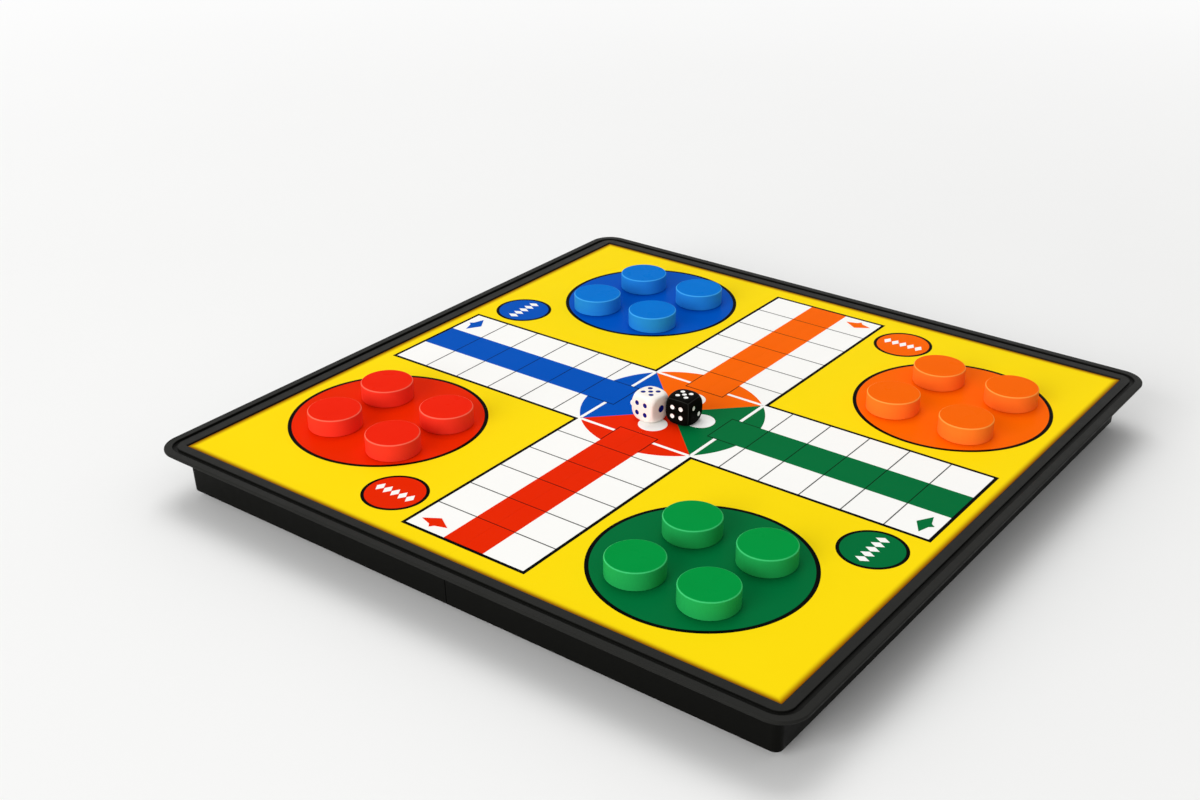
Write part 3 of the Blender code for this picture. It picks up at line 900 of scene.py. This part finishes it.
    def knuckles(self) -> list[Surface]:
        """Turn this half's knuckles about the hinge axis.

        Returns:
            Rings: at each hinge the two outer knuckles of the rear half, or the front half's middle one.
        """
        spans = [(-self.middle_end, self.middle_end)]
        if self.side is Side.REAR:
            spans = [(-self.outer_end, -self.outer_start), (self.outer_start, self.outer_end)]
        found = []
        for start, end in spans:
            corners = rectangle(self.bore_radius, start, self.barrel_radius, end)
            profile, _ = filleted(corners, np.full(len(corners), self.knuckle_edge))
            ring = turned(profile, KNUCKLE_PARTS, closed=True)
            lying = Surface(ring.points[:, [2, 0, 1]], ring.faces)
            found += [lying.moved((centre, 0.0, AXIS_Z)) for centre in (-self.hinge_x, self.hinge_x)]
        return found

    def ribs(self) -> list[Surface]:
        """Carry the section of a rib along Y, twice.

        Returns:
            Two closed surfaces, from inside the fold wall to inside the outer wall.
        """
        half = self.rib_thickness / 2
        corners = rectangle(-half, CEILING_Z - self.rib_height, half, PLATE_MIDDLE_Z)
        outline, _ = filleted(corners, np.array([self.rib_edge, self.rib_edge, 0.0, 0.0]))
        ends = (WALL_SEAM + self.wall_thickness / 2, HALF_WIDTH - self.wall_inset - self.rib_reach)
        rings = [np.column_stack([outline[:, 0], np.full(len(outline), y), outline[:, 1]]) for y in ends]
        return [tube(np.stack(rings)).moved((x, 0.0, 0.0)) for x in (-self.rib_x, self.rib_x)]

    def posts(self) -> list[Surface]:
        """Turn the feet and the magnet bosses about upright axes.

        Returns:
            Two feet and two bosses, each a closed surface whose top lies inside the plate.
        """
        top = PLATE_MIDDLE_Z
        foot_x = self.rear_foot_x if self.side is Side.REAR else self.front_foot_x
        foot = np.array([(0, top), (self.foot_radius, top), (self.foot_radius, 0), (0, 0)], float)
        foot_profile, _ = filleted(foot, np.array([0.0, 0.0, self.foot_edge, 0.0]))
        boss = np.array([
            (0, top), (self.boss_radius, top), (self.boss_radius, RIM_Z), (self.pocket_radius, RIM_Z),
            (self.pocket_radius, self.pocket_top), (0, self.pocket_top),
        ])
        edges = np.array([0.0, 0.0, self.boss_edge, self.boss_edge, self.pocket_edge, 0.0])
        boss_profile, _ = filleted(boss, edges)
        kinds = ((foot_profile, foot_x, self.foot_y), (boss_profile, self.magnet_x, self.magnet_y))
        return [
            turned(profile, POST_PARTS).moved((sign * x, y, 0.0))
            for profile, x, y in kinds for sign in (-1, 1)
        ]

    def build(self) -> None:
        """Join the shapes of the half and put them in place of the CAD solid."""
        name = self.side.word + "_case_half"
        shapes = [self.rim(), self.top_plate(), self.fold_wall()]
        shapes += [*self.knuckles(), *self.ribs(), *self.posts()]
        surface = joined(shapes).on(self.side)
        make_piece(name + "_moulding", surface, self.material, self.side.body, "case", (name,))


@dataclass
class Printing:
    """The artwork on the two playing surfaces: thin plates of ink, one above the other."""

    materials: dict[Colour, Material]
    step: float = 0.02
    home_centre: Pair = (-61.9, 74.4)
    home_radius: float = 33.9
    home_line: float = 1.3
    home_parts: int = 128
    start_centre: Pair = (-97.1, 37.6)
    start_radius: float = 10.8
    start_line: float = 1.1
    start_parts: int = 96
    diamond: tuple[Pair, ...] = ((0.0, 1.4), (-2.3, 0.0), (0.0, -1.4), (2.3, 0.0))
    diamond_pitch: float = 3.15
    diamonds: int = 5
    arm_reach: float = 107.7
    arm_half: float = 22.86
    arm_line: float = 1.2
    lane_half: float = 7.62
    lane_end: float = 19.5
    cell: float = 14.72
    cells: int = 6
    centre_radius: float = 31.7
    centre_points: int = 49
    line_width: float = 0.4
    lane_line_width: float = 0.28
    bar_width: float = 1.2
    bar_end: float = 7.9
    bar_gap: float = 0.4
    bar_shift: float = 0.2
    token_radius: float = 5.0
    token_distance: float = 11.6
    token_parts: int = 64
    arrow: tuple[Pair, ...] = (
        (0.0, 5.1), (3.2, 0.0), (0.0, -5.1), (-1.3, -1.1), (-2.7, 0.0), (-1.3, 1.1),
    )
    arrow_centre: Pair = (-103.2, 15.4)
    film_edge: float = 0.1
    film_edge_points: int = 4
    shapes: list[tuple[Colour, Layer, FloatArray]] = field(default_factory=list)

    def put(self, ink: Colour, layer: Layer, outline: FloatArray) -> None:
        """Keep an outline in an ink on a layer of the print."""
        self.shapes.append((ink, layer, outline))

    def draw_cross(self) -> None:
        """Draw the four arms and their border, each an outline of twelve corners."""
        for ink, layer, line in (
            (Colour.BLACK, Layer.BORDER, self.arm_line), (Colour.WHITE, Layer.FIELD, 0.0),
        ):
            reach, half = self.arm_reach + line, self.arm_half + line
            quarter = np.array([(half, half), (reach, half), (reach, -half)])
            turns = [np.linalg.matrix_power(QUARTER_TURN, player.value) for player in Player]
            self.put(ink, layer, np.concatenate([quarter @ turn for turn in turns]))

    def draw_player(self, player: Player) -> None:
        """Draw one player's home, start, lane, arrow and part of the centre.

        Everything is worked out for the red player at -X and turned by quarter turns.

        Args:
            player: the player, whose number is the number of quarter turns.
        """
        turn = np.linalg.matrix_power(QUARTER_TURN, player.value)
        ink = player.colour
        for centre, radius, line, parts in (
            (self.home_centre, self.home_radius, self.home_line, self.home_parts),
            (self.start_centre, self.start_radius, self.start_line, self.start_parts),
        ):
            self.put(Colour.BLACK, Layer.BORDER, circle(centre, radius, parts) @ turn)
            self.put(ink, Layer.FIELD, circle(centre, radius - line, parts) @ turn)
        for place in np.arange(self.diamonds) - self.diamonds // 2:
            centre = np.array(self.start_centre) + np.array([0.0, self.diamond_pitch * place])
            self.put(Colour.WHITE, Layer.LINE, (np.array(self.diamond) + centre) @ turn)
        angles = math.pi + np.linspace(-math.pi / 4, math.pi / 4, self.centre_points)
        arc = self.centre_radius * np.column_stack([np.cos(angles), np.sin(angles)])
        self.put(ink, Layer.CENTRE, np.concatenate([[(0.0, 0.0)], arc]) @ turn)
        lane = rectangle(-self.arm_reach, -self.lane_half, -self.lane_end, self.lane_half)
        self.put(ink, Layer.LANE, lane @ turn)
        self.draw_lines(turn)
        token = circle((-self.token_distance, 0.0), self.token_radius, self.token_parts)
        self.put(Colour.WHITE, Layer.TOKEN, token @ turn)
        self.put(ink, Layer.LINE, (np.array(self.arrow) + np.array(self.arrow_centre)) @ turn)

    def draw_lines(self, turn: FloatArray) -> None:
        """Draw the lines between the cells and the white bars at the centre.

        Args:
            turn: the turn from the red player's side.
        """
        lane, arm, end = self.lane_half, self.arm_half, self.lane_end
        half = self.line_width / 2
        thin = self.lane_line_width / 2
        bar = self.bar_width / 2
        boxes = []
        for number in range(1, self.cells):
            x = number * self.cell - self.arm_reach
            boxes += [(Colour.GREY, x - half, low, x + half, low + arm - lane) for low in (lane, -arm)]
            boxes.append((Colour.BLACK, x - thin, -lane, x + thin, lane))
        disc_edge = -math.sqrt(self.centre_radius ** 2 - lane ** 2)
        boxes += [(Colour.BLACK, disc_edge, y - thin, -end - thin, y + thin) for y in (-lane, lane)]
        boxes.append((Colour.BLACK, -end - thin, -lane - thin, -end + thin, lane + thin))
        bar_x = self.bar_shift - arm
        bar_length = arm - self.bar_gap - self.bar_end
        for low in (self.bar_end, self.bar_gap - arm):
            boxes.append((Colour.WHITE, bar_x - bar, low, bar_x + bar, low + bar_length))
        for ink, *corners in boxes:
            self.put(ink, Layer.LINE, rectangle(*corners) @ turn)

    def part_on(self, outline: FloatArray, side: Side) -> FloatArray:
        """Cut an outline along the fold and keep one side.

        A side from point a to point b that crosses the fold line gets the point a + s * (b - a), where
        s is a's distance over the sum of both distances.

        Args:
            outline: corners in plan.
            side: the half that keeps its part.

        Returns:
            The corners of the part, or none where the outline lies on the other half.
        """
        height = side.value * outline[:, 1] - SEAM
        following = np.roll(outline, -1, axis=0)
        following_height = np.roll(height, -1)
        crossing = (height > 0) != (following_height > 0)
        change = np.where(crossing, height - following_height, 1.0)
        cut = outline + (height / change)[:, None] * (following - outline)
        candidates = np.stack([outline, cut], axis=1).reshape(-1, 2)
        return candidates[np.stack([height > 0, crossing], axis=1).ravel()]

    def film(self, side: Side) -> Surface:
        """Work out the sheet of one half: a rectangle whose upper edges are rounded by a quarter arc.

        At angle a of an arc of radius e the outline is inset by e * (1 - cos a), at e * (1 - sin a) below
        the top. The side at the fold stays upright.

        Args:
            side: the half.

        Returns:
            A closed surface.
        """
        angles = np.linspace(0, math.pi / 2, self.film_edge_points)
        insets = self.film_edge * np.concatenate([[0.0], 1 - np.cos(angles)])
        heights = PRINT_TOP_Z - self.film_edge * (1 - np.sin(angles))
        rings = []
        for inset, height in zip(insets, [PRINT_LOW_Z, *heights]):
            half_x = SHEET_HALF_X - inset
            outline = rectangle(-half_x, SEAM, half_x, SHEET_HALF_Y - inset)
            rings.append(np.column_stack([outline, np.full(len(outline), height)]))
        return tube(np.stack(rings)).on(side)

    def build(self) -> None:
        """Draw every shape and make the film and one piece of each ink on each half."""
        for side in Side:
            make_piece(
                side.word + "_film", self.film(side), self.materials[Colour.YELLOW], side.body,
                "printed_sheet", (side.word + "_playing_surface",),
            )
        self.draw_cross()
        for player in Player:
            self.draw_player(player)
        for side in Side:
            for ink in Colour:
                plates = [
                    plate(part, PRINT_TOP_Z - self.step / 2, PRINT_TOP_Z + layer * self.step)
                    for own_ink, layer, outline in self.shapes
                    if own_ink is ink and len(part := self.part_on(outline, side)) > 2
                ]
                if plates:
                    make_piece(
                        f"{side.word}_{ink.word}_print", joined(plates), self.materials[ink], side.body,
                        "printed_sheet", weighted=False,
                    )


@dataclass
class DiscSet:
    """One player's four discs: hollow round caps with a tube inside that holds the magnet."""

    player: Player
    material: Material
    # Share of the painted highlight's tone on the side: painted light that makes it lighter than the top
    side_light: float
    count: int = 4
    radius: float = 9.1
    height: float = 6.0
    upper_edge: float = 0.42
    lower_edge: float = 0.15
    wall: float = 1.2
    top: float = 1.3
    ceiling_edge: float = 0.3
    tube_radius: float = 4.3
    tube_low: float = 0.4
    tube_edge: float = 0.1
    tube_root: float = 0.2
    pocket_radius: float = 3.3
    pocket_top: float = 2.7
    segments: int = 96

    def cap(self) -> Surface:
        """Turn the disc's section about its own axis.

        Returns:
            The disc's surface. Its values of painted light rise as the sine along the round upper edge, from
            0 to 1 in the middle, where the painted highlight is, and fall to the painted light on the side.
        """
        inner = self.radius - self.wall
        ceiling = self.height - self.top
        corners = np.array([
            # radius, height, radius of the edge
            (0, self.height, 0),
            (self.radius, self.height, self.upper_edge),
            (self.radius, 0, self.lower_edge),
            (inner, 0, self.lower_edge),
            (inner, ceiling, self.ceiling_edge),
            (self.tube_radius, ceiling, self.tube_root),
            (self.tube_radius, self.tube_low, self.tube_edge),
            (self.pocket_radius, self.tube_low, self.tube_edge),
            (self.pocket_radius, self.pocket_top, 0),
            (0, self.pocket_top, 0),
        ])
        profile, origin = filleted(corners[:, :2], corners[:, 2])
        cap = turned(profile, self.segments)
        # The outer corners, above and below, stand second and third in the list
        upper, lower = origin == 1, origin == 2
        along_edge = np.linspace(0, math.pi, np.count_nonzero(upper))
        edge = np.zeros(len(profile))
        edge[upper] = np.where(
            along_edge < math.pi / 2, np.sin(along_edge), np.maximum(np.sin(along_edge), self.side_light),
        )
        edge[lower] = self.side_light
        return Surface(cap.points, cap.faces, {PointValue.EDGE: np.tile(edge, self.segments)})

    def build(self) -> None:
        """Put a cap in the place of each of the player's CAD discs."""
        cap = self.cap()
        for number in range(1, self.count + 1):
            node = f"{self.player.word}_disc_{number}"
            low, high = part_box(node)
            middle = (low + high) / 2 / MM
            placed = cap.moved((middle.x, middle.y, PIECE_LOW_Z - SEATING))
            make_piece(node + "_cap", placed, self.material, node, "disc_" + self.player.word, (node,))


@dataclass
class Die:
    """A die: a cube with round edges and sunk, painted spots.

    It stands with its middle over a place in plan, turned anticlockwise by some degrees seen from above.
    faces gives the number of spots on the face in each direction, before the turn.
    """

    colour: Colour
    material: Material
    centre: Pair
    turn: float
    faces: dict[tuple[int, int, int], int]
    size: float = 9.7
    edge_power: float = 11.0
    ball_ratio: float = 1.38
    blend_power: float = 24.0
    spot_radius: float = 0.88
    single_spot_radius: float = 1.3
    spot_depth: float = 0.25
    spot_spread: float = 1.8
    # Likeness of the two largest parts of a direction from which the edges take a painted highlight
    highlight_from: float = 0.94
    parts: int = 60

    @property
    def name(self) -> str:
        """Return the name that the die's CAD node, body and slot have."""
        return self.colour.word + "_die"

    def spots(self) -> tuple[FloatArray, FloatArray]:
        """Work out the die's spots.

        Returns:
            The middle of every spot on the cube's faces, and each spot's radius.
        """
        middle, slant, straight = [(0, 0)], [(-1, 1), (1, -1)], [(-1, 0), (1, 0)]
        corners = slant + [(-1, -1), (1, 1)]
        layouts = [middle, slant, middle + slant, corners, middle + corners, straight + corners]
        found = []
        radii = []
        for direction, count in self.faces.items():
            normal = np.array(direction, float)
            along = np.roll(normal, -1)
            across = np.cross(normal, along)
            for first, second in layouts[count - 1]:
                spread = self.spot_spread * (first * along + second * across)
                found.append(normal * self.size / 2 + spread)
                radii.append(self.single_spot_radius if count == 1 else self.spot_radius)
        return np.array(found), np.array(radii)

    def surface(self) -> Surface:
        """Work out the die about its own middle.

        Each face is a grid on the cube. A point in the direction u from the middle lies at
        r = (a ** -q + b ** -q) ** (-1 / q). There a = half * (sum of |u| ** p) ** (-1 / p) is a cube with
        round edges, b = half * ball_ratio is the ball that cuts its corners, and q blends the two. Within
        a spot of radius R a point sinks by depth * (1 - (d / R) ** 2), where d is its distance from the
        spot's middle. The value of painted highlight rises to 1 where the two largest parts of u are
        alike, which is along the cube's edges.

        Returns:
            A closed surface, with each point's value of painted highlight and distance from the nearest
            spot's edge.
        """
        half = self.size / 2
        line = np.linspace(-half, half, self.parts + 1)
        across, along = np.meshgrid(line, line, indexing="ij")
        patches = []
        for axis in range(3):
            for sign in (-half, half):
                patch = np.stack([np.full_like(across, sign), across, along], axis=-1)
                patches.append(np.roll(patch, axis, axis=-1).reshape(-1, 3))
        outward = np.concatenate(patches)
        outward /= np.linalg.norm(outward, axis=1, keepdims=True)
        cube = half * np.sum(np.abs(outward) ** self.edge_power, axis=1) ** (-1 / self.edge_power)
        ball = half * self.ball_ratio
        reach = (cube ** -self.blend_power + ball ** -self.blend_power) ** (-1 / self.blend_power)
        points = outward * reach[:, None]
        centres, radii = self.spots()
        distance = np.linalg.norm(points[:, None] - centres[None], axis=2)
        sunk = self.spot_depth * np.maximum(1 - (distance / radii) ** 2, 0).max(axis=1)
        points = points - outward * sunk[:, None]
        side = self.parts + 1
        faces = [grid_faces(side, side, False, False) + patch * side * side for patch in range(6)]
        steepness = np.sort(np.abs(outward), axis=1)
        nearness = steepness[:, 1] / steepness[:, 2]
        edge = np.clip((nearness - self.highlight_from) / (1 - self.highlight_from), 0, 1)
        values = {PointValue.SPOT_DISTANCE: (distance - radii).min(axis=1), PointValue.EDGE: edge}
        return Surface(points, faces, values)

    def build(self) -> None:
        """Turn the die, stand it on the board and put it in place of the CAD die."""
        surface = self.surface()
        angle = math.radians(self.turn)
        turn = np.array([
            (math.cos(angle), math.sin(angle), 0), (-math.sin(angle), math.cos(angle), 0), (0, 0, 1),
        ])
        middle = (*self.centre, PIECE_LOW_Z - SEATING + self.size / 2)
        placed = Surface(surface.points @ turn, surface.faces, surface.values).moved(middle)
        make_piece(self.name + "_cube", placed, self.material, self.name, self.name, (self.name,), False)


@dataclass
class Studio:
    """The floor, the lights, the white surroundings and the camera."""

    focal_pixels: float = 1553.1
    image_width: float = 1200.0
    image_height: float = 800.0
    sensor_width: float = 36.0
    aim_pixel: Pair = (650.0, 420.0)
    camera_place: Triple = (-392.7, -266.8, 260.8)
    yaw: float = 39.23
    pitch: float = 25.86
    roll: float = -1.08
    near_clip: float = 0.01
    floor_half: float = 4000.0
    fade_start: float = 240.0
    fade_end: float = 1100.0
    ambient: float = 0.49
    softbox_size: float = 2.0
    softboxes: tuple[tuple[str, Triple, float], ...] = (
        ("overhead_softbox", (0.9, 0.8, 2.9), 0.36), ("left_softbox", (-2.82, 0.4, 1.0), 0.76),
    )

    def background_rays(self, tree: Tree) -> Socket:
        """Find the rays for which the surroundings are plain white.

        Args:
            tree: the node tree of the floor's material or of the world.

        Returns:
            An output socket that is 1 for camera, glossy and transmission rays, and 0 for the diffuse
            rays that carry light to the board.
        """
        rays = add_node(tree, "ShaderNodeLightPath").outputs
        share = rays["Is Camera Ray"]
        for ray in ("Is Glossy Ray", "Is Transmission Ray"):
            share = add_node(
                tree, "ShaderNodeMath", {"operation": "MAXIMUM"}, links={0: share, 1: rays[ray]},
            ).outputs[0]
        return share

    def floor_material(self) -> Material:
        """Mix plain white into the floor's paint, so that far from the board it looks like the backdrop.

        Returns:
            A material whose share of white grows smoothly with the distance from the origin, for
            background rays alone.
        """
        material = FLOOR_PAINT.material()
        tree = material.node_tree
        place = add_node(tree, "ShaderNodeTexCoord").outputs["Object"]
        distance = add_node(
            tree, "ShaderNodeVectorMath", {"operation": "LENGTH"}, links={0: place},
        ).outputs["Value"]
        far = add_node(
            tree, "ShaderNodeMapRange", {"interpolation_type": "SMOOTHSTEP"},
            {"From Min": self.fade_start * MM, "From Max": self.fade_end * MM}, {"Value": distance},
        ).outputs["Result"]
        share = add_node(
            tree, "ShaderNodeMath", {"operation": "MULTIPLY"}, links={0: far, 1: self.background_rays(tree)},
        ).outputs[0]
        paint = tree.nodes["Principled BSDF"].outputs[0]
        white = add_node(tree, "ShaderNodeEmission", values={"Strength": 1.0}).outputs[0]
        both = add_node(tree, "ShaderNodeMixShader", links={0: share, 1: paint, 2: white}).outputs[0]
        tree.links.new(both, tree.nodes["Material Output"].inputs["Surface"])
        return material

    def add_floor(self) -> None:
        """Add a wide pale floor that shows the board's shadow."""
        half = self.floor_half * MM
        corners = [(-half, -half, 0), (half, -half, 0), (half, half, 0), (-half, half, 0)]
        mesh = bpy.data.meshes.new("floor")
        mesh.from_pydata(corners, [], [(0, 1, 2, 3)])
        mesh.materials.append(self.floor_material())
        floor = add_object("floor", mesh)

    def add_light(self, name: str, place: Triple, share: float) -> None:
        """Add a soft square light that faces the middle of the board.

        A face turned to it gets share times the light at which a colour renders as written: the
        power is share times pi squared times the distance squared.

        Args:
            name: the light's name.
            place: where it stands, in metres.
            share: what it gives a face turned to it.
        """
        data = bpy.data.lights.new(name, "AREA")
        data.size = self.softbox_size
        distance = math.dist(place, (0, 0, 0))
        data.energy = share * math.pi ** 2 * distance ** 2
        back = np.array(place) / distance
        light = add_object(name, data)
        light.matrix_world = self.facing(np.array(place), -back, np.array([0.0, 0.0, 1.0]))

    def facing(self, place: FloatArray, forward: FloatArray, up: FloatArray) -> Matrix:
        """Work out the matrix of an object that looks along its own -Z.

        Args:
            place: its place in metres.
            forward: the direction that it looks in.
            up: a direction near its upper side.

        Returns:
            The object's matrix.
        """
        right = np.cross(forward, up)
        right /= np.linalg.norm(right)
        up = np.cross(right, forward)
        matrix = np.eye(4)
        matrix[:3, 0], matrix[:3, 1], matrix[:3, 2], matrix[:3, 3] = right, up, -forward, place
        return Matrix(matrix.tolist())

    def add_world(self) -> None:
        """Add surroundings that look white and light the board evenly."""
        world = bpy.data.worlds.new("pale_surroundings")
        world.use_nodes = True
        tree = world.node_tree
        tree.nodes.clear()
        seen = self.background_rays(tree)
        light, white = (
            add_node(tree, "ShaderNodeBackground", values={"Color": (1, 1, 1, 1), "Strength": strength})
            for strength in (self.ambient, 1.0)
        )
        both = add_node(
            tree, "ShaderNodeMixShader", links={0: seen, 1: light.outputs[0], 2: white.outputs[0]},
        )
        add_node(tree, "ShaderNodeOutputWorld", links={0: both.outputs[0]})
        bpy.context.scene.world = world

    def add_camera(self) -> None:
        """Add the camera at the photograph's viewing angle, aimed so that the whole board shows."""
        yaw, pitch, roll = (math.radians(angle) for angle in (self.yaw, self.pitch, self.roll))
        forward = np.array([
            math.cos(yaw) * math.cos(pitch), math.sin(yaw) * math.cos(pitch), -math.sin(pitch),
        ])
        level_right = np.array([math.sin(yaw), -math.cos(yaw), 0.0])
        level_up = np.cross(level_right, forward)
        right = math.cos(roll) * level_right + math.sin(roll) * level_up
        up = math.cos(roll) * level_up - math.sin(roll) * level_right
        aim = (
            self.focal_pixels * forward + (self.aim_pixel[0] - self.image_width / 2) * right
            - (self.aim_pixel[1] - self.image_height / 2) * up
        )
        aim /= np.linalg.norm(aim)
        data = bpy.data.cameras.new("camera")
        data.sensor_width = self.sensor_width
        data.lens = self.focal_pixels / self.image_width * self.sensor_width
        data.clip_start = self.near_clip
        camera = add_object("camera", data)
        camera.matrix_world = self.facing(np.array(self.camera_place) * MM, aim, up)
        bpy.context.scene.camera = camera

    def build(self) -> None:
        """Set up everything round the board."""
        self.add_floor()
        self.add_world()
        for name, place, share in self.softboxes:
            self.add_light(name, place, share)
        self.add_camera()
        bpy.context.scene.view_settings.view_transform = "Standard"


def build_board() -> None:
    """Build the sub-assemblies in order, from the case up to the dice."""
    case = CASE_ABS.material()
    for side in Side:
        CaseHalf(side, case).build()
    Printing({name: finish.material() for name, finish in INKS.items()}).build()
    for player in Player:
        DiscSet(player, DISC_STYRENE[player].material(), SIDE_LIGHTS[player]).build()
    Die(Colour.WHITE, DIE_ACRYLIC[Colour.WHITE].material(), centre=(-7.9, 3.6), turn=-7.0, faces={
        (0, 0, 1): 5, (0, 0, -1): 2, (-1, 0, 0): 4, (1, 0, 0): 3, (0, -1, 0): 1, (0, 1, 0): 6,
    }).build()
    Die(Colour.BLACK, DIE_ACRYLIC[Colour.BLACK].material(), centre=(-3.0, -6.8), turn=2.0, faces={
        (0, 0, 1): 5, (0, 0, -1): 1, (-1, 0, 0): 4, (1, 0, 0): 3, (0, -1, 0): 2, (0, 1, 0): 6,
    }, spot_radius=0.8, spot_spread=1.65).build()
    for word, finish in (("steel_sheet", TINNED_STEEL), ("hinge_pin", DRAWN_STEEL), ("magnet", FERRITE)):
        finish_nodes([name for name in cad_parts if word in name], finish.material())


def main() -> None:
    """Build the board and its surroundings."""
    logging.basicConfig(level=logging.INFO, format="%(name)s: %(message)s")
    build_board()
    Studio().build()


if __name__ == "__main__":
    main()
